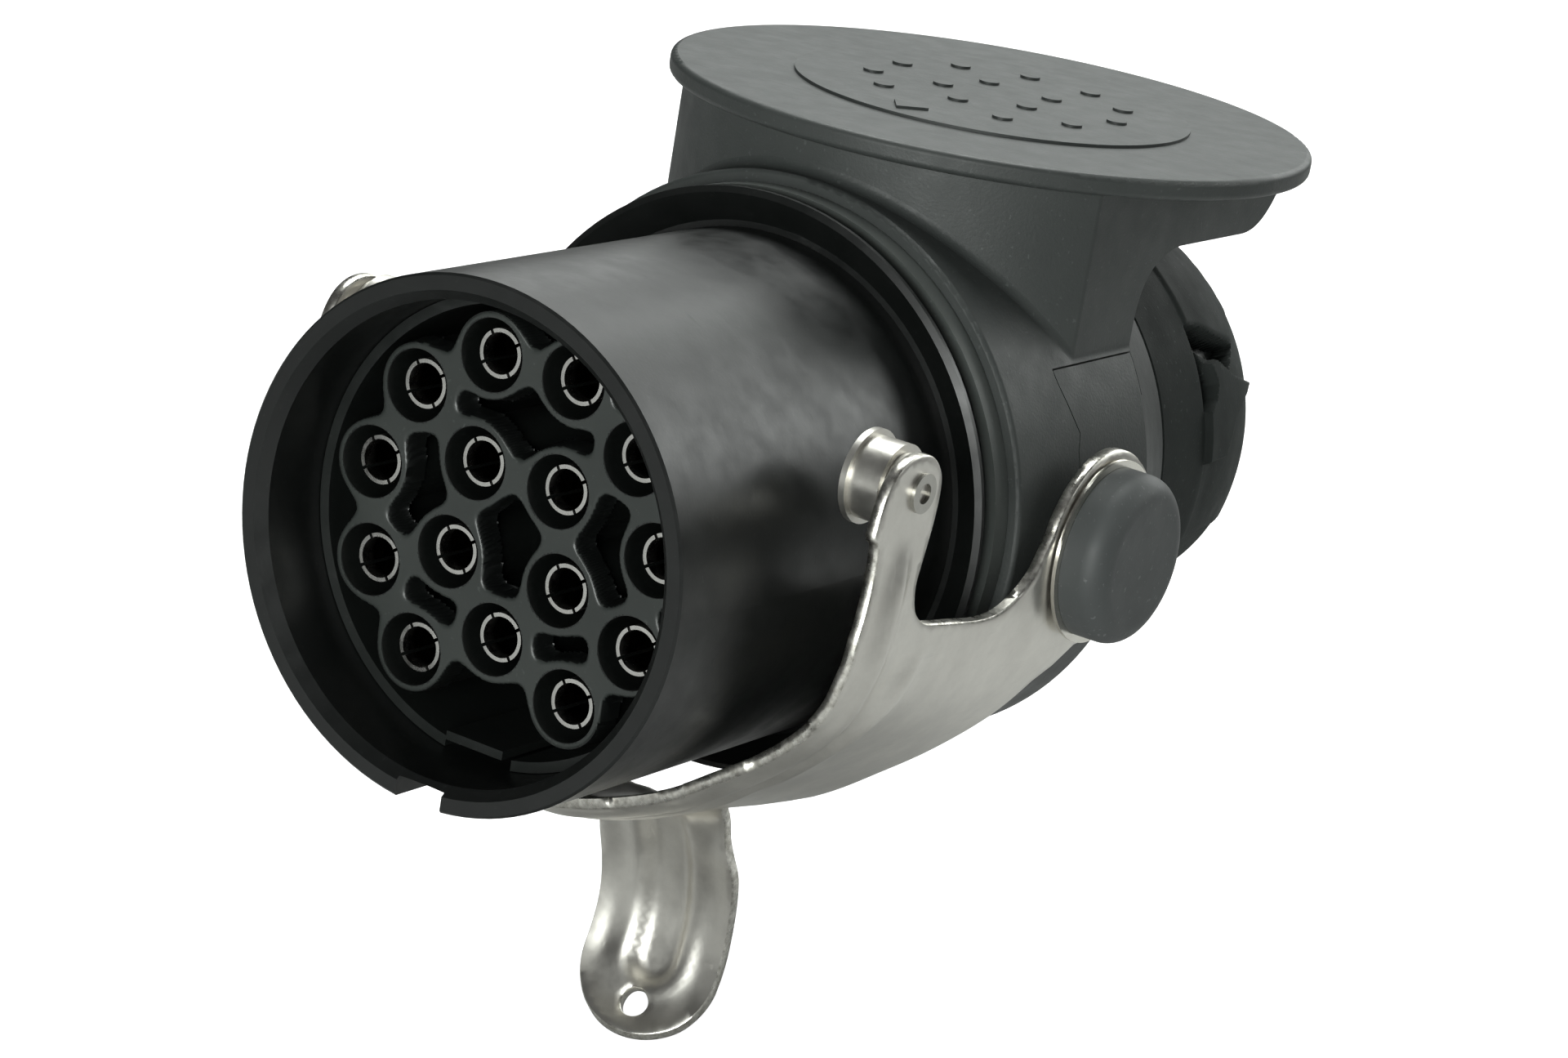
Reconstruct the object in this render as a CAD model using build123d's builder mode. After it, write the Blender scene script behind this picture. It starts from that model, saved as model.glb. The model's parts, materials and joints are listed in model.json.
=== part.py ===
"""15-pole trailer plug with a steel locking bail, as an assembly of separate parts.

Millimetres. The origin is the centre of the front rim of the skirt, which is the
mating face. The plug axis is Y: the mating socket lies towards -Y and the cable
leaves towards +Y. +Z is up, the round top cover is on top, and the bail swings
about an axis along X.
"""
from build123d import *
from math import atan2, cos, degrees, radians, sin, sqrt
import os

os.makedirs("parts", exist_ok=True)

# ---------------------------------------------------------------- driving sizes
# Skirt and its flange (plug_shell)
SKIRT_R = 31.5            # outer radius of the mating skirt
SKIRT_BORE_R = 28.3
RIM_FACE_R = 29.5         # inner edge of the flat rim face
RIM_CHAMFER = 1.3
FLANGE_Y = 55.4           # front edge of the flange lip
FLANGE_R = 36.7
LIP_CORNER = 0.8          # slope and rounding of the lip's front corner
LIP_LENGTH = 1.0
UNDERCUT = 2.2            # depth of the dished flange face at the skirt
GROOVE_R = 35.2
SEAL_Y0, SEAL_Y1 = 59.1, 62.1
SEAL_SEAT_R = 33.0
SHELL_END_Y = 75.0
KEYWAY_WIDTH, KEYWAY_FLOOR_R, KEYWAY_LENGTH = 6.6, 28.9, 18.0

# Contact insert
INSERT_R = 28.2
INSERT_WALL_R = 26.9      # inside of the insert's outer wall
INSERT_Y0, INSERT_Y1 = 10.8, 45.0
INSERT_FLOOR = 9.0
BOSS_Y, BOSS_R, BOSS_BORE_R = 10.3, 5.05, 4.35
WEB_Y, WEB_WIDTH, WEB_FILLET, WEB_SHRINK = 10.6, 1.6, 0.8, 0.76
KEY_WIDTH, KEY_INNER_R, KEY_THICKNESS, KEY_Y0, KEY_GAP = 8.3, 25.4, 1.1, 9.8, 0.7

# Contacts: ten on the outer circle, four inside and one between, seen from the front
CONTACT_CIRCLE_R, CONTACT_PITCH_DEG = 20.9, 360 / 11
INNER_CIRCLE_R, INNER_ANGLES = 9.2, (-61, 61, 139, -139)
LOWER_CONTACT_R = 12.9
CONTACT_R, CONTACT_BORE_R = 2.95, 2.48
CONTACT_Y0, CONTACT_SHOULDER_Y, CONTACT_END_Y = 11.9, 45.2, 62.0
CONTACT_CRIMP_R, CONTACT_CRIMP_BORE_R, CONTACT_CRIMP_DEPTH = 2.1, 1.5, 7.0
CONTACT_DEPTH, CONTACT_SLIT, CONTACT_SLIT_LENGTH = 24.0, 0.4, 11.0
SLIT_TURN_DEG = 35

# Housing and top cover
HOUSING_R, HOUSING_BORE_R = 38.2, 33.2
HOUSING_Y0 = 62.2
HOUSING_SPLIT_Y = 75.8    # main housing ends here below the side parting line
HOUSING_Y1 = 94.5
SPLIT_Z = 20.9            # height of the side parting line
COVER_Y, COVER_R = 105.0, 42.2
COVER_Z0, COVER_Z1 = 42.5, 45.2
NECK_R, NECK_HALF_WIDTH = 40.2, 31.6
NECK_FLOOR_Z = 33.6
WALL = 2.8
SPLIT_STEP_Z, SPLIT_GAP = 13.3, 0.2
NOTCH_DEPTH, NOTCH_DROP = 1.6, 5.5
COVER_PANEL_R, COVER_PANEL_H = 26.1, 0.4
MARK_SCALE, MARK_SHIFT, MARK_DOT_R, MARK_H = 0.8, 1.5, 1.35, 0.35

# Rear shell and cable gland
CONE_R1, CONE_Y1 = 33.0, 107.6
SPIGOT_R, SPIGOT_BORE_R, SPIGOT_Y1 = 29.0, 26.0, 121.0
CABLE_BORE_R = 8.0
GLAND_SEAT_Y = 110.5      # the rubber seal bears on this shoulder
THRUST_Y0, THRUST_Y1 = 121.9, 125.0
NUT_R, NUT_Y0, NUT_BAND_Y1 = 32.5, 108.2, 120.2
NUT_CLEARANCE = 0.1
NUT_END_Y, NUT_BORE_R = 154.0, 9.5
GRIP_COUNT = 4            # pocket and pad pairs round the nut
POCKET_DEG, POCKET_SPAN_DEG, POCKET_FLOOR_R = 30.0, 13.0, 28.7
POCKET_Y0, POCKET_Y1 = NUT_BAND_Y1, 134.0
PAD_DEG, PAD_SPAN_DEG, PAD_R, PAD_Y1 = 13.0, 18.0, 32.6, 133.0
SLIT_Y1 = 121.8

# Bail
PIVOT_Y, PIVOT_Z = 76.9, 0.0
SHEET = 1.5
ARM_X = 41.4              # outer face of the bail's side plates
ARM_END_R = 12.7
ROLLER_Y, ROLLER_Z = 31.2, 14.0
ROLLER_R, ROLLER_FLANGE_R = 5.0, 5.7
ROLLER_X0, ROLLER_FLANGE_X, ROLLER_X1 = 33.7, 34.5, 38.5
RIVET_R, RIVET_BORE_R, RIVET_HEAD_R = 1.9, 1.2, 2.4
SADDLE_Y0 = 23.5
SADDLE_DROP = 0.0066      # the saddle grows this share deeper for each mm towards the rear
HANDLE_Y, HANDLE_Z, HANDLE_R = 34.4, -58.0, 23.0   # curl of the handle's front face
HANDLE_HALF_WIDTH, HANDLE_ROOT_HALF_WIDTH, HANDLE_TIP_Z = 10.4, 10.9, -76.2
HANDLE_ROOT_Z, HANDLE_SHOULDER_Z = -41.6, -50.0
HANDLE_HOLE_R, HANDLE_HOLE_Z = 1.9, -69.5

# Pivot stack, from the housing outwards
BOSS_FACE_X, PIVOT_BOSS_R = 39.1, 8.0
STUD_R, STUD_X0, STUD_X1 = 4.0, 34.6, 46.2
JOURNAL_R, COLLAR_R = 6.0, 9.6
COLLAR_X0, COLLAR_X1 = 41.5, 41.95
WASHER_R, WASHER_X1 = 11.7, 42.45
CAP_R, CAP_X1, CAP_ROUND = 10.8, 48.2, 3.0
BEARING_CLEARANCE = 0.05

SIDES = (("left", -1), ("right", 1))


# ---------------------------------------------------------------- helpers
def save(part, name):
    """Label a finished part and write it as one STEP file."""
    part.label = name
    export_step(part, f"parts/{name}.step")


def turned(points):
    """A ring or solid of revolution about Y, from (radius, y) points."""
    with BuildPart() as body:
        with BuildSketch(Plane.XY):
            with BuildLine():
                Polyline(*points, close=True)
            make_face()
        revolve(axis=Axis.Y)
    return body.part


def contact_points():
    """(x, z) of the fifteen contacts, outer circle first."""
    spots = []
    for step in (-1, -2, -3, -4, -5, 5, 4, 3, 2, 1):
        angle = radians(step * CONTACT_PITCH_DEG)
        spots.append((CONTACT_CIRCLE_R * sin(angle), -CONTACT_CIRCLE_R * cos(angle)))
    for degree in INNER_ANGLES:
        angle = radians(degree)
        spots.append((INNER_CIRCLE_R * sin(angle), -INNER_CIRCLE_R * cos(angle)))
    spots.append((0, -LOWER_CONTACT_R))
    return spots


def across(y):
    """Sketch plane square to the plug axis at y, seen from the front: (x, z)."""
    return Plane(origin=(0, y, 0), x_dir=(1, 0, 0), z_dir=(0, -1, 0))


def side(x):
    """Sketch plane square to X at x: local axes are (y, z)."""
    return Plane.YZ.offset(x)


CONTACTS = contact_points()

# ---------------------------------------------------------------- plug shell
with BuildPart() as plug_shell:
    with BuildSketch(Plane.XY):
        with BuildLine():
            Polyline(
                (SKIRT_BORE_R, RIM_CHAMFER),
                (RIM_FACE_R, 0),
                (SKIRT_R - 0.3, 0),
                (SKIRT_R, 0.3),
                (SKIRT_R, FLANGE_Y + UNDERCUT),
                (SKIRT_R + LIP_CORNER, FLANGE_Y + UNDERCUT),
                (FLANGE_R - LIP_CORNER, FLANGE_Y),
                (FLANGE_R, FLANGE_Y + LIP_CORNER / 2),
                (FLANGE_R, FLANGE_Y + LIP_LENGTH),
                (GROOVE_R, FLANGE_Y + LIP_LENGTH),
                (GROOVE_R, SEAL_Y0),
                (SEAL_SEAT_R, SEAL_Y0),
                (SEAL_SEAT_R, SHELL_END_Y),
                (SKIRT_BORE_R, SHELL_END_Y),
                close=True,
            )
        make_face()
    revolve(axis=Axis.Y)
    with BuildSketch(across(0)):
        with Locations((0, -(KEYWAY_FLOOR_R + SKIRT_R) / 2 - 1)):
            Rectangle(KEYWAY_WIDTH, SKIRT_R - KEYWAY_FLOOR_R + 2)
    extrude(amount=-KEYWAY_LENGTH, mode=Mode.SUBTRACT)
save(plug_shell.part, "plug_shell")

save(turned([(SEAL_SEAT_R + 0.05, SEAL_Y0 + 0.05), (FLANGE_R - 0.1, SEAL_Y0 + 0.05),
             (FLANGE_R - 0.1, SEAL_Y1), (SEAL_SEAT_R + 0.05, SEAL_Y1)]), "flange_seal")

# ---------------------------------------------------------------- contact carrier
# Webs join neighbouring bosses; the numbers are places in CONTACTS.
WEBS = ((0, 1), (1, 2), (2, 3), (3, 4), (4, 5), (5, 6), (6, 7), (7, 8), (8, 9),
        (14, 0), (14, 9), (14, 10), (14, 11), (10, 1), (10, 13), (13, 3), (13, 12),
        (12, 11), (12, 6), (11, 8))

with BuildPart() as contact_carrier:
    with BuildSketch(across(INSERT_Y0)):
        Circle(INSERT_R)
        Circle(INSERT_WALL_R, mode=Mode.SUBTRACT)
        with Locations((0, -INSERT_R)):
            Rectangle(KEY_WIDTH + 2 * KEY_GAP, 6, mode=Mode.SUBTRACT)
    extrude(amount=INSERT_Y0 - INSERT_Y1)
    with BuildSketch(across(INSERT_Y1)):
        Circle(INSERT_R)
    extrude(amount=INSERT_FLOOR)
    with BuildSketch(across(KEY_Y0)):
        with Locations((0, -KEY_INNER_R - KEY_THICKNESS / 2)):
            Rectangle(KEY_WIDTH, KEY_THICKNESS)
    extrude(amount=KEY_Y0 - INSERT_Y1 + INSERT_FLOOR / 2)
    with BuildSketch(across(WEB_Y)):
        with Locations(*CONTACTS):
            Circle(BOSS_R)
        for first, second in WEBS:
            (x0, z0), (x1, z1) = CONTACTS[first], CONTACTS[second]
            with Locations(Location(((x0 + x1) / 2, (z0 + z1) / 2, 0),
                                    (0, 0, degrees(atan2(z1 - z0, x1 - x0))))):
                Rectangle(sqrt((x1 - x0) ** 2 + (z1 - z0) ** 2), WEB_WIDTH)
        offset(amount=WEB_FILLET, kind=Kind.ARC)
        offset(amount=-WEB_SHRINK, kind=Kind.ARC)
    extrude(amount=WEB_Y - INSERT_Y1 + INSERT_FLOOR / 2)
    with BuildSketch(across(BOSS_Y)):
        with Locations(*CONTACTS):
            Circle(BOSS_R)
    extrude(amount=BOSS_Y - WEB_Y)
    with BuildSketch(across(BOSS_Y)):
        with Locations(*CONTACTS):
            Circle(BOSS_BORE_R)
    extrude(amount=BOSS_Y - INSERT_Y1 + INSERT_FLOOR, mode=Mode.SUBTRACT)
    with BuildSketch(across(INSERT_Y1 + 1)):
        with Locations(*CONTACTS):
            Circle(CONTACT_R + 0.1)
    extrude(amount=INSERT_FLOOR + 2, mode=Mode.SUBTRACT)
save(contact_carrier.part, "contact_carrier")

# ---------------------------------------------------------------- contacts
for number, (cx, cz) in enumerate(CONTACTS, start=1):
    with BuildPart() as contact:
        with BuildSketch(across(CONTACT_Y0)):
            with Locations((cx, cz)):
                Circle(CONTACT_R)
        extrude(amount=CONTACT_Y0 - CONTACT_SHOULDER_Y)
        with BuildSketch(across(CONTACT_SHOULDER_Y)):
            with Locations((cx, cz)):
                Circle(CONTACT_CRIMP_R)
        extrude(amount=CONTACT_SHOULDER_Y - CONTACT_END_Y)
        with BuildSketch(across(CONTACT_Y0)):
            with Locations((cx, cz)):
                Circle(CONTACT_BORE_R)
        extrude(amount=-CONTACT_DEPTH, mode=Mode.SUBTRACT)
        with BuildSketch(across(CONTACT_END_Y)):
            with Locations((cx, cz)):
                Circle(CONTACT_CRIMP_BORE_R)
        extrude(amount=CONTACT_CRIMP_DEPTH, mode=Mode.SUBTRACT)
        with BuildSketch(across(CONTACT_Y0)):
            for turn in (SLIT_TURN_DEG, SLIT_TURN_DEG + 90):
                with Locations(Location((cx, cz, 0), (0, 0, turn))):
                    Rectangle(2 * CONTACT_R + 1, CONTACT_SLIT)
        extrude(amount=-CONTACT_SLIT_LENGTH, mode=Mode.SUBTRACT)
    save(contact.part, f"contact_{number:02d}")

# ---------------------------------------------------------------- retainer, wire seal, clamp plate
PLATES = (
    ("contact_retainer", INSERT_Y1 + 0.3, 49.0, INSERT_R, CONTACT_CRIMP_R + 0.1),
    ("wire_seal", 49.1, 56.9, INSERT_R - 0.2, CONTACT_CRIMP_R + 0.1),
    ("seal_plate", 57.0, 60.0, INSERT_R, CONTACT_CRIMP_R + 0.6),
)
SCREW_R, SCREW_HEAD_R, SCREW_HEAD_H = 1.5, 2.8, 2.0

for name, y0, y1, radius, hole in PLATES:
    with BuildPart() as plate:
        with BuildSketch(across(y0)):
            Circle(radius)
            with Locations(*CONTACTS):
                Circle(hole, mode=Mode.SUBTRACT)
            with Locations((0, 0)):
                Circle(SCREW_R + 0.1, mode=Mode.SUBTRACT)
        extrude(amount=y0 - y1)
    save(plate.part, name)

with BuildPart() as plate_screw:
    with BuildSketch(across(INSERT_Y1 + 0.35)):
        Circle(SCREW_R)
    extrude(amount=INSERT_Y1 + 0.35 - 60.05)
    with BuildSketch(across(60.05)):
        Circle(SCREW_HEAD_R)
        RegularPolygon(1.3, 6, mode=Mode.SUBTRACT)
    extrude(amount=-SCREW_HEAD_H)
save(plate_screw.part, "plate_screw")

# ---------------------------------------------------------------- main housing
def neck_plan(radius, half_width, corner):
    """Plan outline of the neck: a disc about the cover's centre, cut flat on both sides."""
    with BuildSketch(Plane.XY) as plan:
        with Locations((0, COVER_Y)):
            Circle(radius)
            Rectangle(2 * half_width, 2 * radius + 2, mode=Mode.INTERSECT)
        fillet(plan.vertices(), radius=corner)
    return plan.sketch


def neck_side(gap):
    """Side outline of what lies behind and below the neck, drawn back from it by gap."""
    with BuildSketch(side(0)) as outline:
        with BuildLine():
            Polyline((HOUSING_Y1 + gap, -HOUSING_R - 1), (HOUSING_Y1 + gap, SPLIT_Z + 2))
            Spline((HOUSING_Y1 + gap, SPLIT_Z + 2), (HOUSING_Y1 + 1.5 + gap, SPLIT_Z + 9),
                   (HOUSING_Y1 + 9, NECK_FLOOR_Z - gap), tangents=((0, 1), (1, 0.08)))
            Polyline((HOUSING_Y1 + 9, NECK_FLOOR_Z - gap), (COVER_Y + 15, NECK_FLOOR_Z - gap))
            Spline((COVER_Y + 15, NECK_FLOOR_Z - gap), (COVER_Y + 21.5, NECK_FLOOR_Z + 2.6),
                   (COVER_Y + 25.2, COVER_Z0 + 1), tangents=((1, 0), (0.2, 1)))
            Polyline((COVER_Y + 25.2, COVER_Z0 + 1), (COVER_Y + 60, COVER_Z0 + 1),
                     (COVER_Y + 60, -HOUSING_R - 1), (HOUSING_Y1 + gap, -HOUSING_R - 1))
        make_face()
    return outline.sketch


def split_side(gap):
    """Side outline of the rear shell's share of the drum; gap widens it on every side."""
    top = SPLIT_Z + gap
    with BuildSketch(side(0)) as outline:
        with BuildLine():
            Spline((HOUSING_SPLIT_Y - 1.2 - gap, top), (HOUSING_SPLIT_Y - 0.4 - gap, SPLIT_Z - 3),
                   (HOUSING_SPLIT_Y + 1.8 - gap, SPLIT_STEP_Z), tangents=((0, -1), (0.6, -1)))
            Polyline((HOUSING_SPLIT_Y + 1.8 - gap, SPLIT_STEP_Z), (HOUSING_SPLIT_Y + 1 - gap, SPLIT_STEP_Z - 2),
                     (HOUSING_SPLIT_Y + 1 - gap, -100), (HOUSING_Y1 + 60, -100), (HOUSING_Y1 + 60, top),
                     (HOUSING_SPLIT_Y - 1.2 - gap, top))
        make_face()
    return outline.sketch


def on_drum_and_neck(edge):
    """True for the curves where the neck's walls meet the drum."""
    for t in (0.2, 0.5, 0.8):
        p = edge @ t
        if abs(sqrt(p.X ** 2 + p.Z ** 2) - HOUSING_R) > 0.05:
            return False
        if p.Z < SPLIT_Z - 1 or not HOUSING_Y0 + 1 < p.Y < HOUSING_Y1 - 0.01:
            return False
    return True


with BuildPart() as main_housing:
    with BuildSketch(across(HOUSING_Y0)):
        Circle(HOUSING_R)
    extrude(amount=HOUSING_Y0 - HOUSING_Y1)
    fillet(main_housing.edges().filter_by(GeomType.CIRCLE).sort_by(Axis.Y)[0], radius=0.6)
    extrude(neck_plan(NECK_R, NECK_HALF_WIDTH, 1.0), amount=COVER_Z0 - 0.1)
    extrude(neck_side(0), amount=NECK_R + 10, both=True, mode=Mode.SUBTRACT)
    fillet(main_housing.edges().filter_by(on_drum_and_neck), radius=1.4)
    # room inside: shell bore, wiring space and the hollow of the neck
    with BuildSketch(across(HOUSING_Y0)):
        Circle(HOUSING_BORE_R)
    extrude(amount=HOUSING_Y0 - HOUSING_Y1 - 1, mode=Mode.SUBTRACT)
    with BuildSketch(Plane.XY.offset(HOUSING_BORE_R - 12)):
        with Locations((0, COVER_Y)):
            Circle(NECK_R - WALL)
            Rectangle(2 * (NECK_HALF_WIDTH - WALL), 2 * NECK_R, mode=Mode.INTERSECT)
        with Locations((0, HOUSING_Y1 + 50 - WALL)):
            Rectangle(2 * NECK_R, 100, mode=Mode.SUBTRACT)
    extrude(amount=COVER_Z0, mode=Mode.SUBTRACT)
    with BuildSketch(Plane.XY.offset(NECK_FLOOR_Z + WALL)):
        with Locations((0, COVER_Y)):
            Circle(NECK_R - 2 * WALL)
            Rectangle(2 * (NECK_HALF_WIDTH - WALL), 2 * NECK_R, mode=Mode.INTERSECT)
        with Locations((0, COVER_Y + 60)):
            Rectangle(2 * NECK_R, 80, mode=Mode.SUBTRACT)
    extrude(amount=COVER_Z0, mode=Mode.SUBTRACT)
    # below the side parting line the rear shell takes over
    extrude(split_side(0), amount=HOUSING_R + 10, both=True, mode=Mode.SUBTRACT)
    # flat round bosses that carry the bail
    for sign in (-1, 1):
        with BuildSketch(side(sign * BOSS_FACE_X)):
            with Locations((PIVOT_Y, PIVOT_Z)):
                Circle(PIVOT_BOSS_R)
        extrude(amount=-sign * (BOSS_FACE_X - STUD_X0))
        with BuildSketch(side(sign * (BOSS_FACE_X + 1))):
            with Locations((PIVOT_Y, PIVOT_Z)):
                Circle(STUD_R + 0.01)
        extrude(amount=-sign * 12, mode=Mode.SUBTRACT)
save(main_housing.part, "main_housing")

# ---------------------------------------------------------------- top cover
with BuildPart() as top_cover:
    with BuildSketch(Plane.XY.offset(COVER_Z0)):
        with Locations((0, COVER_Y)):
            Circle(COVER_R)
    extrude(amount=COVER_Z1 - COVER_Z0)
    fillet(top_cover.edges().filter_by(GeomType.CIRCLE), radius=0.8)
    with BuildSketch(Plane.XY.offset(COVER_Z1 - 0.1)):
        with Locations((0, COVER_Y)):
            Circle(COVER_PANEL_R)
    extrude(amount=COVER_PANEL_H + 0.1)
    # raised plan of the contacts, with an arrow towards the mating side
    with BuildSketch(Plane.XY.offset(COVER_Z1 + COVER_PANEL_H - 0.05)):
        with Locations(*[(MARK_SCALE * x, COVER_Y + MARK_SCALE * z + MARK_SHIFT) for x, z in CONTACTS]):
            Circle(MARK_DOT_R)
        with Locations((0, COVER_Y - 0.82 * COVER_PANEL_R)):
            Triangle(a=5.2, b=4.4, c=4.4, rotation=180)
    extrude(amount=MARK_H + 0.05)
save(top_cover.part, "top_cover")

# ---------------------------------------------------------------- rear shell
with BuildPart() as rear_envelope:
    extrude(split_side(-SPLIT_GAP), amount=HOUSING_R + 10, both=True)
    extrude(neck_side(SPLIT_GAP), amount=HOUSING_R + 10, both=True)
    # the notch that shows behind the side parting line
    with BuildSketch(side(0)):
        with Locations((HOUSING_Y1 + NOTCH_DEPTH / 2, SPLIT_Z - NOTCH_DROP / 2)):
            Rectangle(NOTCH_DEPTH, NOTCH_DROP)
    extrude(amount=HOUSING_R + 10, both=True, mode=Mode.SUBTRACT)

with BuildPart() as rear_shell:
    with BuildSketch(Plane.XY):
        with BuildLine():
            Polyline(
                (HOUSING_R, HOUSING_SPLIT_Y - 3), (HOUSING_R, HOUSING_Y1 - 0.6),
                (HOUSING_R - 0.25, HOUSING_Y1 + 0.2), (HOUSING_R - 0.8, HOUSING_Y1 + 0.9),
                (CONE_R1, CONE_Y1), (SPIGOT_R, CONE_Y1), (SPIGOT_R, SPIGOT_Y1),
                (SPIGOT_BORE_R, SPIGOT_Y1), (SPIGOT_BORE_R, GLAND_SEAT_Y),
                (CABLE_BORE_R + 3, GLAND_SEAT_Y), (CABLE_BORE_R + 3, GLAND_SEAT_Y - WALL),
                (CONE_R1 - WALL - 1, CONE_Y1 - 1), (HOUSING_R - WALL, HOUSING_Y1),
                (HOUSING_R - WALL, HOUSING_SPLIT_Y - 3),
                close=True,
            )
        make_face()
    revolve(axis=Axis.Y)
    add(rear_envelope.part, mode=Mode.INTERSECT)
    # clear of the flat bosses that carry the bail
    for sign in (-1, 1):
        with BuildSketch(side(sign * 30)):
            with Locations((PIVOT_Y, PIVOT_Z)):
                Circle(PIVOT_BOSS_R + SPLIT_GAP)
        extrude(amount=sign * 15, mode=Mode.SUBTRACT)
save(rear_shell.part, "rear_shell")

# ---------------------------------------------------------------- cable gland
save(turned([(CABLE_BORE_R, GLAND_SEAT_Y + 0.05), (SPIGOT_BORE_R - 0.2, GLAND_SEAT_Y + 0.05),
             (SPIGOT_BORE_R - 0.2, THRUST_Y0 - 3), (SPIGOT_BORE_R - 3, THRUST_Y0 - 0.1),
             (CABLE_BORE_R, THRUST_Y0 - 0.1)]), "gland_seal")
save(turned([(CABLE_BORE_R + 1.5, THRUST_Y0), (SPIGOT_BORE_R - 1, THRUST_Y0),
             (SPIGOT_BORE_R - 1, THRUST_Y1), (CABLE_BORE_R + 1.5, THRUST_Y1)]), "gland_thrust_ring")

NUT_PROFILE = [
    (SPIGOT_R + NUT_CLEARANCE, NUT_Y0), (NUT_R - 0.8, NUT_Y0), (NUT_R, NUT_Y0 + 0.8),
    (NUT_R, NUT_BAND_Y1), (31.7, NUT_BAND_Y1 + 0.3), (31.6, 124), (31.1, 129), (30.1, 134),
    (28.3, 139.4), (25.7, 144.5), (22.2, 149), (18.0, 152), (13.5, 153.6), (11.5, NUT_END_Y),
    (NUT_BORE_R, NUT_END_Y - 0.6), (NUT_BORE_R, NUT_END_Y - 3.2), (13.0, NUT_END_Y - 3.4),
    (17.0, 148.8), (20.5, 145.6), (23.6, 141.4), (25.8, 136), (26.6, 131), (26.7, THRUST_Y1 + 3.2),
    (SPIGOT_BORE_R - 4, THRUST_Y1 + 3.2), (SPIGOT_BORE_R - 4, THRUST_Y1 + 0.05),
    (26.7, THRUST_Y1 + 0.05), (26.7, SPIGOT_Y1 + 0.6), (SPIGOT_R + NUT_CLEARANCE, SPIGOT_Y1 + 0.6),
]


def grip_box(floor_r, top_r, span_deg):
    """Rectangle from floor_r out to top_r as wide as span_deg of the nut."""
    with Locations(((floor_r + top_r) / 2, 0)):
        Rectangle(top_r - floor_r, 2 * NUT_R * sin(radians(span_deg / 2)))


# raised pads with a crisp rear step, one behind each pocket
with BuildPart() as pads:
    add(turned([(POCKET_FLOOR_R, SLIT_Y1), (PAD_R, SLIT_Y1), (PAD_R - 0.3, PAD_Y1 - 5),
                (PAD_R - 1.1, PAD_Y1), (POCKET_FLOOR_R, PAD_Y1)]))
    with BuildSketch(across(SLIT_Y1 - 1)):
        with PolarLocations(0, GRIP_COUNT, start_angle=PAD_DEG):
            grip_box(POCKET_FLOOR_R - 1, PAD_R + 1, PAD_SPAN_DEG)
    extrude(amount=SLIT_Y1 - PAD_Y1 - 2, mode=Mode.INTERSECT)

with BuildPart() as gland_nut:
    add(turned(NUT_PROFILE))
    add(pads.part)
    with BuildSketch(across(POCKET_Y0)):
        with PolarLocations(0, GRIP_COUNT, start_angle=POCKET_DEG):
            grip_box(POCKET_FLOOR_R, NUT_R + 2, POCKET_SPAN_DEG)
    extrude(amount=POCKET_Y0 - POCKET_Y1, mode=Mode.SUBTRACT)
    # undercut slit between the front band and each pad
    with BuildSketch(across(NUT_BAND_Y1)):
        with PolarLocations(0, GRIP_COUNT, start_angle=PAD_DEG + 4):
            grip_box(POCKET_FLOOR_R, NUT_R + 2, PAD_SPAN_DEG)
    extrude(amount=NUT_BAND_Y1 - SLIT_Y1, mode=Mode.SUBTRACT)
save(gland_nut.part, "gland_nut")


# ---------------------------------------------------------------- bail
SECTION = (
    (39.9, 30.0), (39.9, -0.5), (39.4, -6.0), (37.6, -11.6), (34.4, -16.1), (29.4, -20.6),
    (24.6, -24.1), (19.0, -27.9), (12.4, -31.0), (6.2, -33.2), (0, -34.4),
)


def saddle_section(y, grow):
    """Closed cross-section of the bail at y, grown outwards by the sheet thickness."""
    deep = 1 + SADDLE_DROP * (y - SADDLE_Y0)
    right = [(x, z * (deep if z < 0 else 1)) for x, z in SECTION]
    left = [(-x, z) for x, z in reversed(right[:-1])]
    with BuildSketch(across(y)) as section:
        with BuildLine():
            Line(right[0], right[1])
            Spline(*right[1:], *left[:-1], tangents=((0, -1), (0, 1)))
            Line(left[-2], left[-1])
            Line(left[-1], right[0])
        make_face()
        if grow:
            offset(amount=grow, kind=Kind.INTERSECTION)
    return section.sketch


SIDE_OUTLINE = (
    (26.1, 17.4), (24.3, 15.6), (23.5, 13.0), (23.0, 10.2), (23.0, 8.0), (23.9, 5.7), (24.0, 3.7),
    (23.5, -0.2), (23.3, -8.0), (23.3, -40.0), (48.0, -46.0), (52.0, -44.6), (65.0, -29.0),
    (PIVOT_Y - 1, -ARM_END_R + 0.1), (PIVOT_Y, 0), (PIVOT_Y - ARM_END_R + 0.5, -0.2),
    (59.9, -2.6), (56.9, -4.1), (53.3, -4.9), (43.4, -3.6), (38.4, -2.7), (35.6, -1.2),
    (34.2, 1.2), (34.1, 4.6), (35.4, 9.4), (35.9, 14.0), (34.9, 16.6), (32.4, 18.3), (29.0, 18.5),
)

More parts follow.
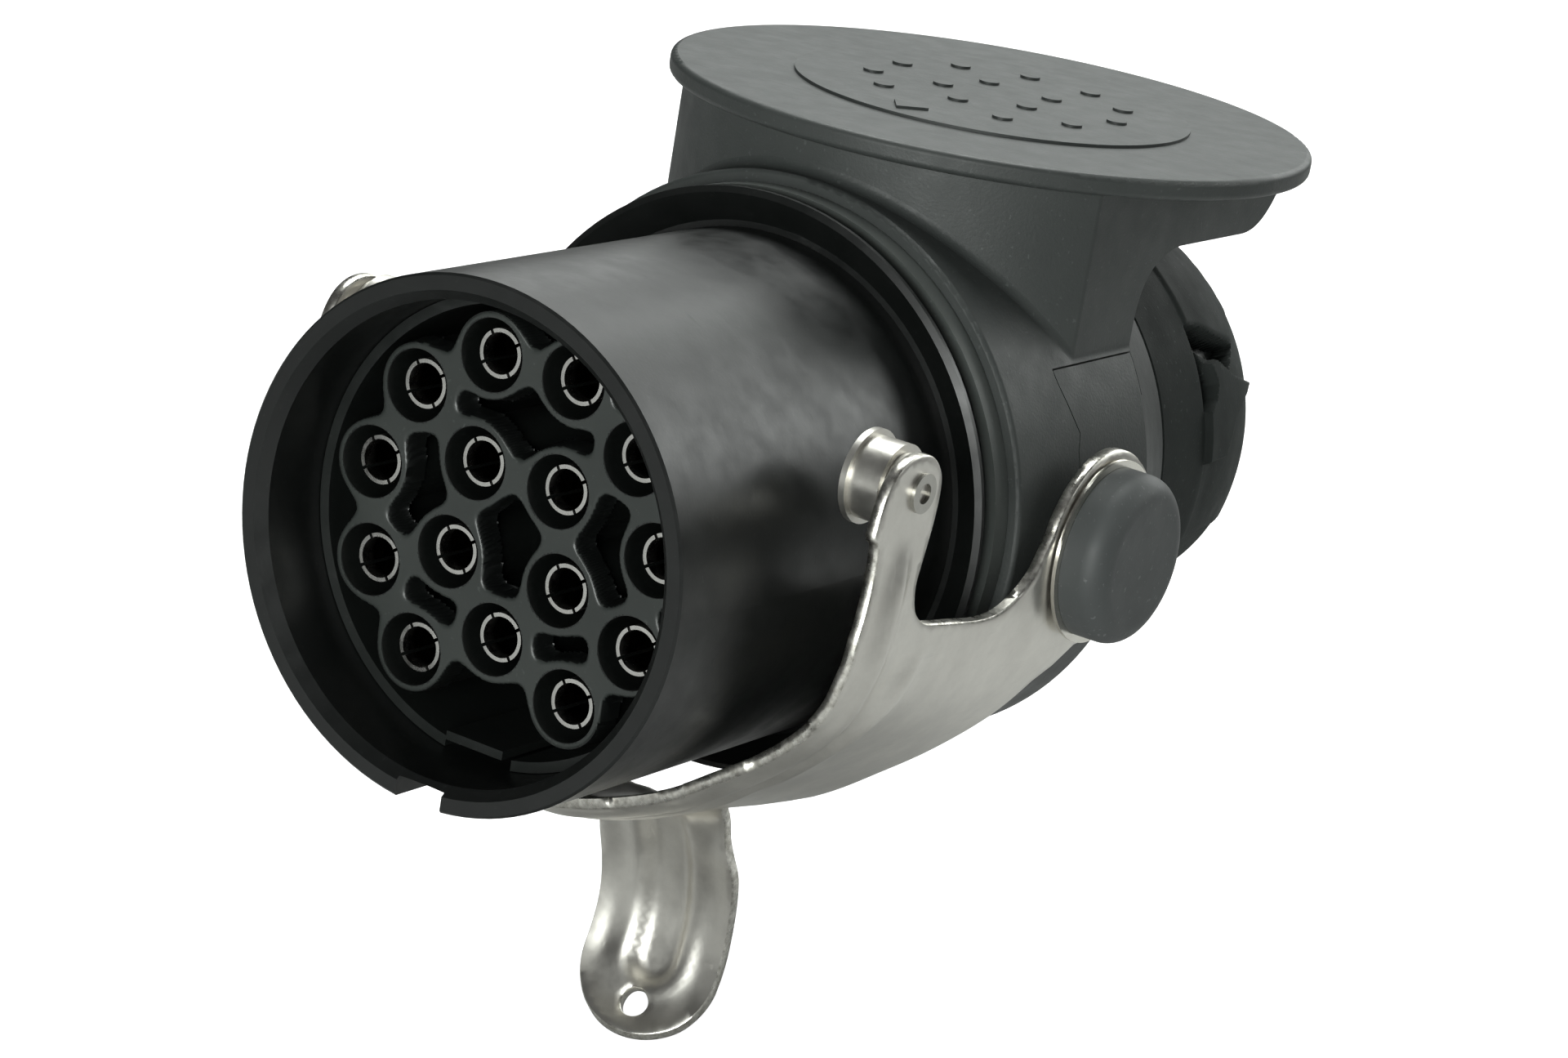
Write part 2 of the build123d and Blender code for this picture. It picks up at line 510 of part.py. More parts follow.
with BuildPart() as handle:
    with BuildSketch(side(0)):
        with Locations((HANDLE_Y, HANDLE_Z)):
            Circle(HANDLE_R + SHEET)
            Circle(HANDLE_R, mode=Mode.SUBTRACT)
        with Locations((HANDLE_Y + HANDLE_R, (HANDLE_ROOT_Z + HANDLE_TIP_Z) / 2)):
            Rectangle(2 * HANDLE_R - 4, HANDLE_ROOT_Z - HANDLE_TIP_Z, mode=Mode.INTERSECT)
    extrude(amount=HANDLE_ROOT_HALF_WIDTH + 2, both=True)
    with BuildSketch(across(HANDLE_Y)):
        with BuildLine():
            Polyline((-HANDLE_HALF_WIDTH, HANDLE_TIP_Z + HANDLE_HALF_WIDTH),
                     (-HANDLE_ROOT_HALF_WIDTH, HANDLE_SHOULDER_Z), (-HANDLE_ROOT_HALF_WIDTH, HANDLE_ROOT_Z),
                     (HANDLE_ROOT_HALF_WIDTH, HANDLE_ROOT_Z), (HANDLE_ROOT_HALF_WIDTH, HANDLE_SHOULDER_Z),
                     (HANDLE_HALF_WIDTH, HANDLE_TIP_Z + HANDLE_HALF_WIDTH))
            ThreePointArc((HANDLE_HALF_WIDTH, HANDLE_TIP_Z + HANDLE_HALF_WIDTH), (0, HANDLE_TIP_Z),
                          (-HANDLE_HALF_WIDTH, HANDLE_TIP_Z + HANDLE_HALF_WIDTH))
        make_face()
        with Locations((0, HANDLE_HOLE_Z)):
            Circle(HANDLE_HOLE_R, mode=Mode.SUBTRACT)
    extrude(amount=-(HANDLE_R + 5), mode=Mode.INTERSECT)

with BuildPart() as bail_lever:
    loft([saddle_section(SADDLE_Y0 - 4, SHEET), saddle_section(PIVOT_Y + 16, SHEET)], ruled=True)
    loft([saddle_section(SADDLE_Y0 - 5, 0), saddle_section(PIVOT_Y + 17, 0)], ruled=True,
         mode=Mode.SUBTRACT)
    with BuildSketch(side(0)):
        with BuildLine():
            Polyline(*SIDE_OUTLINE, close=True)
        make_face()
        with Locations((PIVOT_Y, PIVOT_Z)):
            Circle(ARM_END_R)
    extrude(amount=ARM_X + 5, both=True, mode=Mode.INTERSECT)
    add(handle.part)
    with BuildSketch(side(0)):
        with Locations((PIVOT_Y, PIVOT_Z)):
            Circle(JOURNAL_R + BEARING_CLEARANCE)
        with Locations((ROLLER_Y, ROLLER_Z)):
            Circle(RIVET_R + 0.01)
    extrude(amount=ARM_X + 5, both=True, mode=Mode.SUBTRACT)
save(bail_lever.part, "bail_lever")


def stepped_pin(sign, y, z, steps):
    """Coaxial cylinders along X on one side of the plug: (radius, x0, x1) each."""
    with BuildPart() as pin:
        for radius, x0, x1 in steps:
            with BuildSketch(side(sign * x0)):
                with Locations((y, z)):
                    Circle(radius)
            extrude(amount=sign * (x1 - x0))
    return pin.part


def bored(part, sign, y, z, bores):
    """The part with coaxial holes along X cut from it: (radius, x0, x1) each."""
    with BuildPart() as cut:
        add(part)
        add(stepped_pin(sign, y, z, bores), mode=Mode.SUBTRACT)
    return cut.part


for name, sign in SIDES:
    save(stepped_pin(sign, PIVOT_Y, PIVOT_Z, [
        (STUD_R, STUD_X0, STUD_X1), (JOURNAL_R, BOSS_FACE_X + 0.02, COLLAR_X0),
        (COLLAR_R, COLLAR_X0, COLLAR_X1)]), f"pivot_stud_{name}")
    save(bored(
        stepped_pin(sign, PIVOT_Y, PIVOT_Z, [(WASHER_R, COLLAR_X1 + 0.02, WASHER_X1)]),
        sign, PIVOT_Y, PIVOT_Z, [(STUD_R + 0.03, COLLAR_X1, WASHER_X1)]), f"pivot_washer_{name}")

    with BuildPart() as cap:
        with BuildSketch(side(sign * (WASHER_X1 + 0.02))):
            with Locations((PIVOT_Y, PIVOT_Z)):
                Circle(CAP_R)
        extrude(amount=sign * (CAP_X1 - WASHER_X1))
        outer = cap.faces().sort_by(Axis.X)[-1 if sign > 0 else 0]
        fillet(outer.edges(), radius=CAP_ROUND)
        with BuildSketch(side(sign * WASHER_X1)):
            with Locations((PIVOT_Y, PIVOT_Z)):
                Circle(STUD_R + 0.02)
        extrude(amount=sign * (STUD_X1 - WASHER_X1 + 0.1), mode=Mode.SUBTRACT)
    save(cap.part, f"pivot_cap_{name}")

    save(bored(
        stepped_pin(sign, ROLLER_Y, ROLLER_Z, [
            (RIVET_HEAD_R, ROLLER_X0 - 0.6, ROLLER_X0 - 0.05), (RIVET_R, ROLLER_X0 - 0.3, ARM_X + 0.2),
            (RIVET_HEAD_R, ARM_X + 0.01, ARM_X + 0.5)]),
        sign, ROLLER_Y, ROLLER_Z, [(RIVET_BORE_R, ROLLER_X0 - 1, ARM_X + 1)]), f"roller_rivet_{name}")
    save(bored(
        stepped_pin(sign, ROLLER_Y, ROLLER_Z, [
            (ROLLER_FLANGE_R, ROLLER_X0, ROLLER_FLANGE_X), (ROLLER_R, ROLLER_FLANGE_X - 0.1, ROLLER_X1)]),
        sign, ROLLER_Y, ROLLER_Z, [(RIVET_R + BEARING_CLEARANCE, ROLLER_X0 - 1, ROLLER_X1 + 1)]),
        f"roller_{name}")
    save(bored(
        stepped_pin(sign, ROLLER_Y, ROLLER_Z, [(ROLLER_R - 1, ROLLER_X1 + 0.05, ARM_X - SHEET - 0.02)]),
        sign, ROLLER_Y, ROLLER_Z, [(RIVET_R + 0.02, ROLLER_X1, ARM_X)]), f"roller_washer_{name}")
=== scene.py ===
"""Look of the 15-pole trailer plug: materials, finer pieces, studio and camera, in the CAD frame (metres)."""
import json
import math

import bmesh
import bpy
from mathutils import Matrix, Vector
from mathutils.geometry import delaunay_2d_cdt


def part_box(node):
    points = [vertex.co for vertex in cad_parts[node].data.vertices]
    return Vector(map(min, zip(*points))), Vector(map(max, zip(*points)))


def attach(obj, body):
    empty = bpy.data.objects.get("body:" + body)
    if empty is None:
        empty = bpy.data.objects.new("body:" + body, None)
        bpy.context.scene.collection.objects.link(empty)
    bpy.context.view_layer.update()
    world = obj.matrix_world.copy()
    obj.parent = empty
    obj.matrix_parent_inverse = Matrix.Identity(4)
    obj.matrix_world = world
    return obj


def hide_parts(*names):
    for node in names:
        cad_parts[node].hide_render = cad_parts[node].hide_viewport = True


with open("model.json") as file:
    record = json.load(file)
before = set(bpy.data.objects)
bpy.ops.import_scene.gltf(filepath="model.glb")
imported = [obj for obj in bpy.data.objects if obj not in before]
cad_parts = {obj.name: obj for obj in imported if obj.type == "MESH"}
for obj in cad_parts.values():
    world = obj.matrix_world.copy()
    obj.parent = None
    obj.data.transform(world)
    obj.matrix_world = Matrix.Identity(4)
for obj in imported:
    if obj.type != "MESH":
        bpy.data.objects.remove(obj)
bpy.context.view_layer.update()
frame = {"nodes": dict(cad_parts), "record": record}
MM = 0.001


# ------------------------------------------------------------------ camera
CAMERA_AZ, CAMERA_EL, CAMERA_ROLL = 31.1381, 15.815, 9.4301
# millimetres from the frame's origin, along the camera's own axes before its roll
CAMERA_AWAY, CAMERA_RIGHT, CAMERA_UP = 520.8916, 36.7452, 8.2784
CAMERA_LENS, CAMERA_SENSOR = 105.0, 36.0


def camera():
    """Camera at the photo's viewing angle: azimuth from -Y, elevation, then roll about the line of sight."""
    az, el, roll = (math.radians(a) for a in (CAMERA_AZ, CAMERA_EL, CAMERA_ROLL))
    back = Vector((math.sin(az) * math.cos(el), -math.cos(az) * math.cos(el), math.sin(el)))
    right = (-back).cross(Vector((0, 0, 1))).normalized()
    up = right.cross(-back)
    place = (back * CAMERA_AWAY + right * CAMERA_RIGHT + up * CAMERA_UP) * MM
    r2 = right * math.cos(roll) + up * math.sin(roll)
    u2 = -right * math.sin(roll) + up * math.cos(roll)
    data = bpy.data.cameras.new("camera")
    data.sensor_width = CAMERA_SENSOR
    data.lens = CAMERA_LENS
    data.clip_start = 0.01
    data.clip_end = 20.0
    cam = bpy.data.objects.new("camera", data)
    cam.matrix_world = Matrix.Translation(place) @ Matrix((
        (r2.x, u2.x, back.x, 0), (r2.y, u2.y, back.y, 0), (r2.z, u2.z, back.z, 0), (0, 0, 0, 1)))
    bpy.context.scene.collection.objects.link(cam)
    bpy.context.scene.camera = cam


camera()


# ------------------------------------------------------------------ shape helpers
def catmull(points, per=8):
    """Smooth open curve through the points, with per steps in each span."""
    last = len(points) - 1
    out = []
    for i in range(last):
        p0, p1, p2, p3 = (points[min(max(i + k - 1, 0), last)] for k in range(4))
        for j in range(per):
            t = j / per
            out.append(tuple(
                0.5 * (2 * b + (c - a) * t + (2 * a - 5 * b + 4 * c - d) * t * t
                       + (3 * b - a - 3 * c + d) * t ** 3)
                for a, b, c, d in zip(p0, p1, p2, p3)))
    out.append(tuple(points[-1]))
    return out


def bracket(rows, column, value):
    """The two neighbouring rows whose column brackets value; the column rises from row to row."""
    lo, hi = 0, len(rows) - 1
    while hi - lo > 1:
        mid = (lo + hi) // 2
        if rows[mid][column] <= value:
            lo = mid
        else:
            hi = mid
    return rows[lo], rows[hi]


def ease(t):
    """Smooth step from 0 to 1."""
    t = min(max(t, 0.0), 1.0)
    return t * t * (3 - 2 * t)


def seg_dist(p, line):
    """Distance from p to a polyline."""
    best = 1e9
    for a, b in zip(line, line[1:]):
        ax, ay, bx, by = *a, *b
        dx, dy = bx - ax, by - ay
        f = min(max(((p[0] - ax) * dx + (p[1] - ay) * dy) / (dx * dx + dy * dy), 0), 1)
        best = min(best, math.hypot(p[0] - ax - dx * f, p[1] - ay - dy * f))
    return best


def inside(p, loop):
    """Whether p lies inside the closed loop."""
    hit = False
    for (ax, ay), (bx, by) in zip(loop, loop[1:] + loop[:1]):
        if (ay > p[1]) != (by > p[1]) and p[0] < (bx - ax) * (p[1] - ay) / (by - ay) + ax:
            hit = not hit
    return hit


def twice_area(loop):
    """Twice the loop's area, positive when it runs anticlockwise."""
    return sum(a[0] * b[1] - b[0] * a[1] for a, b in zip(loop, loop[1:] + loop[:1]))


def mesh_piece(name, verts, faces, look, smooth_deg=32, scale=MM):
    """A linked object from points in millimetres, with one look and edges sharp above smooth_deg."""
    me = bpy.data.meshes.new(name)
    me.from_pydata([(x * scale, y * scale, z * scale) for x, y, z in verts], [], faces)
    me.validate()
    bm = bmesh.new()
    bm.from_mesh(me)
    bmesh.ops.remove_doubles(bm, verts=bm.verts, dist=1e-7)
    bmesh.ops.recalc_face_normals(bm, faces=bm.faces)
    bm.to_mesh(me)
    bm.free()
    me.polygons.foreach_set("use_smooth", [True] * len(me.polygons))
    me.set_sharp_from_angle(angle=math.radians(smooth_deg))
    me.materials.append(look)
    ob = bpy.data.objects.new(name, me)
    bpy.context.scene.collection.objects.link(ob)
    return ob


def lathe_y(name, profile, look, segs, warp, smooth_deg):
    """Closed (radius, y) profile turned about the Y axis; warp(angle, r, y, i) moves each point."""
    verts, faces = [], []
    n = len(profile)
    for k in range(segs):
        a = 2 * math.pi * k / segs
        for i, (r, y) in enumerate(profile):
            r, y = warp(a, r, y, i)
            verts.append((r * math.cos(a), y, r * math.sin(a)))
    for k in range(segs):
        m = (k + 1) % segs
        for i in range(n):
            j = (i + 1) % n
            faces.append((k * n + i, k * n + j, m * n + j, m * n + i))
    return mesh_piece(name, verts, faces, look, smooth_deg)


# ------------------------------------------------------------------ bail
# Millimetres. The sheet is worked flat: u is arc length across it from the middle, v is y, and past the fold
# v - FOLD_Y is length along the finger tab. SECTION is (x, z) of the right half at the saddle's front.
SECTION = [(0, -34.4), (6.2, -33.2), (12.4, -31.0), (19.0, -27.9), (24.6, -24.1), (29.4, -20.6),
           (34.4, -16.1), (37.6, -11.6), (39.4, -6.0), (39.9, -0.5), (39.9, 5.0), (39.9, 20.0)]
SECTION_STEPS = 24
DEEPEN = 0.0066                        # share added to depths below the pivot for each mm behind SADDLE_Y
SADDLE_Y = 23.5
SHEET = 1.5
PIVOT = (76.9, 0.0)                    # (y, z), the centre of the pivot hole and of the arm's round end
PIVOT_HOLE_R, PIVOT_HOLE_STEPS = 6.15, 48
PIVOT_PAD_R, PIVOT_PAD_HEIGHT = 17.5, 0.30
ARM_END_R = 12.7
FOLD_Y = 48.8                          # where the finger tab leaves the saddle
TONGUE_HALF = 10.9
CROWN_FADE = 11.0                      # length over which the saddle's curve flattens into the tab
CURL_Y, CURL_Z, CURL_R = 34.4, -58.0, 24.5
CURL_START = math.radians(37.5)
CURL_PULL = 1.15                       # how far the bend between fold and curl follows its end directions
TIP_R, TIP_SWEEP = 19.5, math.radians(-80)
CURL_STEPS, TIP_STEPS = 40, 100
HOLE_R, HOLE_STEPS = 1.95, 40
EDGE_ROUND = 0.2
FILL_STEP = 0.95                       # spacing of the points that fill the blank
BAIL_SHARP_DEG = 50


def section_table():
    """Dense (arc length, x, z) table of the half cross-section, from the bottom centre up."""
    mirrored = [(-x, z) for x, z in SECTION[2:0:-1]] + SECTION
    pts = catmull(mirrored, SECTION_STEPS)[2 * SECTION_STEPS:]
    table = [(0.0, max(pts[0][0], 0.0), pts[0][1])]
    for (x0, z0), (x1, z1) in zip(pts, pts[1:]):
        table.append((table[-1][0] + math.hypot(x1 - x0, z1 - z0), x1, z1))
    return table


TABLE = section_table()


def along(t):
    """(x, z) of the half section at arc length t."""
    a, b = bracket(TABLE, 0, t)
    f = (t - a[0]) / (b[0] - a[0])
    return a[1] + (b[1] - a[1]) * f, a[2] + (b[2] - a[2]) * f


def t_of_z(y, z):
    """Arc length at which the section, at that y, is at height z."""
    ref = z / (1 + DEEPEN * (y - SADDLE_Y)) if z < 0 else z
    a, b = bracket(TABLE, 2, ref)
    f = 0 if b[2] == a[2] else (ref - a[2]) / (b[2] - a[2])
    return a[0] + (b[0] - a[0]) * f


def on_circle(centre_y, radius, angle):
    """(y, z) on one of the tab's circles, whose centres share the height CURL_Z."""
    return Vector((centre_y + radius * math.cos(angle), CURL_Z + radius * math.sin(angle)))


def tongue_path():
    """Dense (s, y, z, dy, dz) table of the finger tab's centre line behind the fold."""
    z0 = SECTION[0][1] * (1 + DEEPEN * (FOLD_Y - SADDLE_Y))
    slope = SECTION[0][1] * DEEPEN
    start = Vector((FOLD_Y, z0))
    d0 = Vector((1, slope)).normalized()
    end = on_circle(CURL_Y, CURL_R, CURL_START)
    d1 = Vector((math.sin(CURL_START), -math.cos(CURL_START)))
    pts = []
    pull = CURL_PULL * (end - start).length
    for k in range(CURL_STEPS):
        t = k / CURL_STEPS
        h00, h10 = 2 * t ** 3 - 3 * t * t + 1, t ** 3 - 2 * t * t + t
        h01, h11 = -2 * t ** 3 + 3 * t * t, t ** 3 - t * t
        pts.append(start * h00 + d0 * pull * h10 + end * h01 + d1 * pull * h11)
    pts += [on_circle(CURL_Y, CURL_R, CURL_START * (1 - k / CURL_STEPS)) for k in range(CURL_STEPS)]
    tip_y = CURL_Y + CURL_R - TIP_R
    pts += [on_circle(tip_y, TIP_R, TIP_SWEEP * k / TIP_STEPS) for k in range(TIP_STEPS + 1)]
    rows = []
    s = 0.0
    for i, p in enumerate(pts):
        q = pts[min(i + 1, len(pts) - 1)]
        o = pts[max(i - 1, 0)]
        d = (q - o).normalized()
        if i:
            s += (p - pts[i - 1]).length
        rows.append((s, p.x, p.y, d.x, d.y))
    return rows


PATH = tongue_path()


def path_at(s):
    """The row of PATH at path length s."""
    a, b = bracket(PATH, 0, s)
    f = min(max((s - a[0]) / (b[0] - a[0]), 0), 1)
    return [p + (q - p) * f for p, q in zip(a, b)]


BEAD_HALF, BEAD_GAIN = 1.5, 1.3
BEAD_FADE = 7                          # length over which a bead sinks away at its upper end
FRONT_BEAD_ARM = ((29.4, 8.0), (29.0, 3.0), (28.4, -2.0), (27.6, -8.0), (27.0, -14.0), (26.8, -19.0))
BACK_BEAD_ARM = ((38.6, -6.0), (36.6, -9.5), (34.0, -13.5), (32.4, -18.0))
BEAD_LINES = [                         # each bead's line in (u, v), and its relief: negative is outwards
    ([(t_of_z(27, z), y) for y, z in FRONT_BEAD_ARM] + [(20, 26.8), (0, 26.8)], -0.85),
    ([(t_of_z(y, z), y) for y, z in BACK_BEAD_ARM] + [(24, 31.4), (8, 31.2), (0, 31.2)], -1.0),
]
TAB_RIB_HALF, TAB_RIB_DEPTH = 3.1, 1.35
TAB_RIB_LIP = 0.30                     # height of the lip round the rib
TAB_SIDE_CURL, TAB_SIDE_FROM = 0.45, 7.2
TAB_HOLE_DISH, TAB_HOLE_DISH_R = 0.4, 7.5


def tab_s(z):
    """Path length at which the tab's centre line is at height z."""
    for row in PATH:
        if row[2] <= z:
            return row[0]
    return PATH[-1][0]


S_RIB_END = tab_s(-67.2)
S_RIB_START = tab_s(-42.5)
S_HOLE = tab_s(-70.3)
S_TIP = tab_s(-73.5)


def relief(u, v):
    """How far the sheet is pressed inwards (positive) or outwards at (u, v)."""
    h = 0.0
    au = abs(u)
    if v > FOLD_Y and au < TONGUE_HALF + 0.3:
        s = v - FOLD_Y
        end = math.hypot(au, max(s - S_RIB_END + TAB_RIB_HALF, 0))
        on = ease((s - S_RIB_START + 6) / 8)
        h += TAB_RIB_DEPTH * on * ease((TAB_RIB_HALF - end) / 2.2 + 0.5)
        h -= TAB_RIB_LIP * on * math.exp(-((end - TAB_RIB_HALF - 1.9) / 1.1) ** 2)
        h -= TAB_SIDE_CURL * ease((au - TAB_SIDE_FROM) / 3.2) * ease(s / 8)
        h += TAB_HOLE_DISH * ease(1 - math.hypot(u, s - S_HOLE) / TAB_HOLE_DISH_R)
        return h
    for line, depth in BEAD_LINES:
        d = seg_dist((au, v), line)
        if d < 2 * BEAD_HALF:
            h += depth * ease(1 - d / (2 * BEAD_HALF)) * BEAD_GAIN * ease((line[0][0] + 1.5 - au) / BEAD_FADE)
    if au > 30:
        r = math.hypot(v - PIVOT[0], along(au)[1] * (1 + DEEPEN * (v - SADDLE_Y)) - PIVOT[1])
        h -= PIVOT_PAD_HEIGHT * ease((PIVOT_PAD_R - r) / 3.0)
    return h


def sheet_point(u, v, depth):
    """3-D point of the bail's sheet: depth 0 is its inside face, SHEET its outside face."""
    au, sign = abs(u), (1 if u >= 0 else -1)
    x, z = along(au)
    if v > FOLD_Y and au < TONGUE_HALF + 0.35:
        s = v - FOLD_Y
        _, py, pz, dy, dz = path_at(s)
        crown = (z - TABLE[0][2]) * (1 + DEEPEN * (FOLD_Y - SADDLE_Y))
        off = crown * (1 - ease(s / CROWN_FADE)) - depth
        return Vector((sign * x, py - dz * off, pz + dy * off))
    deep = 1 + DEEPEN * (v - SADDLE_Y)
    e = 0.05                           # half the arc length over which the section's slope is taken
    x1, z1 = along(au + e)
    x0, z0 = along(max(au - e, 0))
    zs = z * deep if z < 0 else z
    tx, tz = x1 - x0, (z1 - z0) * (deep if z < 0 else 1)
    if au < e:
        tx, tz = 1, 0
    length = math.hypot(tx, tz)
    nx, nz = tz / length, -tx / length
    return Vector((sign * (x + nx * depth), v, zs + nz * depth))


def sheet_surface(u, v, depth):
    """sheet_point with the pressed beads added along the sheet's own normal."""
    return sheet_point(u, v, depth - relief(u, v))


def t_of_x(x):
    """Arc length at which the half section is x from the middle."""
    for row in TABLE:
        if row[1] >= x:
            return row[0]
    return TABLE[-1][0]


# Outline of the right half of the sheet. BLANK_FRONT is (x, y) along the saddle's front edge, BLANK_ARM_TIP
# and BLANK_BACK are (y, z) along the arm, and FOLD_FILLET is (u, v).
BLANK_FRONT = [(0, 23.3), (10.6, 23.3), (10.9, 23.85), (17.1, 23.85), (17.4, 23.4), (20.6, 23.3),
               (20.8, 23.0), (28.7, 23.1), (28.9, 23.5), (33.0, 23.4), (36.0, 23.3), (36.3, 22.95),
               (38.4, 22.9)]
BLANK_ARM_TIP = [(22.8, -6.0), (22.8, -3.0), (23.3, -0.2), (23.9, 3.7), (23.9, 7.2), (23.6, 8.7),
                 (22.7, 9.4), (22.8, 10.6), (23.3, 13.0), (24.2, 15.3), (25.6, 17.1), (27.5, 18.2),
                 (29.8, 18.6), (32.2, 18.3), (34.2, 17.1), (35.4, 15.4), (35.7, 13.0), (35.3, 9.4),
                 (34.4, 5.4), (33.8, 2.6), (34.1, 0.4), (35.3, -1.5), (37.4, -2.8), (40.5, -3.4),
                 (45.0, -4.0), (50.0, -4.7), (54.0, -4.8), (57.0, -4.2), (60.0, -2.7), (62.3, -0.2)]
ARM_END_FROM, ARM_END_SWEEP, ARM_END_STEPS = 168, 255, 59
BLANK_BACK = [(77.5, -12.7), (72.0, -16.8), (68.5, -21.6), (64.0, -27.6), (60.0, -32.4), (57.4, -34.9)]
FOLD_FILLET = [(TONGUE_HALF + 3.4, 52.3), (TONGUE_HALF + 1.9, FOLD_Y + 1.0),
               (TONGUE_HALF + 0.9, FOLD_Y - 0.4), (TONGUE_HALF + 0.3, FOLD_Y - 0.6)]
TAB_NECK = [(10.9, 0.6), (10.2, 2.6), (10.0, 4.6)]                    # (half width, path length)
TAB_WIDTHS = [(-44.0, 10.0), (-46.0, 10.45), (-48.0, 10.8), (-50.0, 10.85), (-54.0, 10.6), (-58.0, 10.4),
              (-62.0, 10.4), (-64.0, 10.4)]                           # (height, half width)
TAB_END_R, TAB_END_STEPS = 10.4, 24
ARM_STEPS, FRONT_STEP = 5, 0.7


def blank_half():
    """Right half of the flat blank as (u, v), from the front centre round to the tab's tip."""
    pts = []
    for (x0, y0), (x1, y1) in zip(BLANK_FRONT, BLANK_FRONT[1:]):
        t0, t1 = t_of_x(x0), t_of_x(x1)
        n = max(1, int((t1 - t0) / FRONT_STEP))
        pts += [(t0 + (t1 - t0) * k / n, y0 + (y1 - y0) * k / n) for k in range(n)]
    pts += [(t_of_z(y, z), y) for y, z in catmull(BLANK_ARM_TIP, ARM_STEPS)]
    for k in range(1, ARM_END_STEPS + 1):
        a = math.radians(ARM_END_FROM - ARM_END_SWEEP * k / ARM_END_STEPS)
        y, z = PIVOT[0] + ARM_END_R * math.cos(a), PIVOT[1] + ARM_END_R * math.sin(a)
        pts.append((t_of_z(y, z), y))
    pts += [(t_of_z(y, z), y) for y, z in catmull(BLANK_BACK, ARM_STEPS)[3:]]
    pts += FOLD_FILLET
    side_line = TAB_NECK + [(w, tab_s(z)) for z, w in TAB_WIDTHS]
    pts += [(w, FOLD_Y + s) for w, s in catmull(side_line, 4)]
    end_v = FOLD_Y + (S_TIP - TAB_END_R)
    for k in range(1, TAB_END_STEPS + 1):
        a = math.radians(90 * k / TAB_END_STEPS)
        pts.append((TAB_END_R * math.cos(a), end_v + TAB_END_R * math.sin(a)))
    return pts


def inset_loop(loop, amount):
    """The closed loop moved inwards (to its left) by amount."""
    out = []
    n = len(loop)
    for i in range(n):
        a, b, c = Vector(loop[i - 1]), Vector(loop[i]), Vector(loop[(i + 1) % n])
        d = (c - a).normalized()
        out.append((b.x - d.y * amount, b.y + d.x * amount))
    return out


def thin_out(loop, least=0.25):
    """The loop without points closer than least to the one before."""
    out = [loop[0]]
    for p in loop[1:]:
        if math.hypot(p[0] - out[-1][0], p[1] - out[-1][1]) >= least:
            out.append(p)
    return out


def blank_loops():
    """The whole blank's outline, anticlockwise, then the tab's hole and the two pivot holes, clockwise."""
    half = thin_out(blank_half())
    outline = half + [(-u, v) for u, v in reversed(half) if abs(u) > 0.2]
    if twice_area(outline) < 0:
        outline.reverse()
    turns = [-2 * math.pi * k / HOLE_STEPS for k in range(HOLE_STEPS)]
    holes = [[(HOLE_R * math.cos(a), FOLD_Y + S_HOLE + HOLE_R * math.sin(a)) for a in turns]]
    for side in (-1, 1):
        holes.append([])
        for k in range(PIVOT_HOLE_STEPS):
            a = -side * 2 * math.pi * k / PIVOT_HOLE_STEPS
            y, z = PIVOT[0] + PIVOT_HOLE_R * math.cos(a), PIVOT[1] + PIVOT_HOLE_R * math.sin(a)
            holes[-1].append((side * t_of_z(y, z), y))
    for hole in holes:
        if twice_area(hole) > 0:
            hole.reverse()
    return [outline, *holes]


def in_blank(p, loops):
    """Whether p is inside the outline and outside every hole."""
    return inside(p, loops[0]) and not any(inside(p, lp) for lp in loops[1:])


def fill_blank(loops):
    """Points that fill the blank: the loops' own, then a staggered grid that keeps clear of them."""
    pts = [p for lp in loops for p in lp]
    us = [p[0] for p in loops[0]]
    vs = [p[1] for p in loops[0]]
    near = {}
    for p in pts:
        near.setdefault((int(p[0] // FILL_STEP), int(p[1] // FILL_STEP)), []).append(p)
    row = 0
    v = min(vs)
    while v < max(vs):
        u = min(us) + (0.5 * FILL_STEP if row % 2 else 0)
        while u < max(us):
            cu, cv = int(u // FILL_STEP), int(v // FILL_STEP)
            close = any(math.hypot(q[0] - u, q[1] - v) < 0.6 * FILL_STEP
                        for i in (-1, 0, 1) for j in (-1, 0, 1) for q in near.get((cu + i, cv + j), ()))
            if not close and in_blank((u, v), loops):
                pts.append((u, v))
            u += FILL_STEP
        v += FILL_STEP * 0.87
        row += 1
    return pts


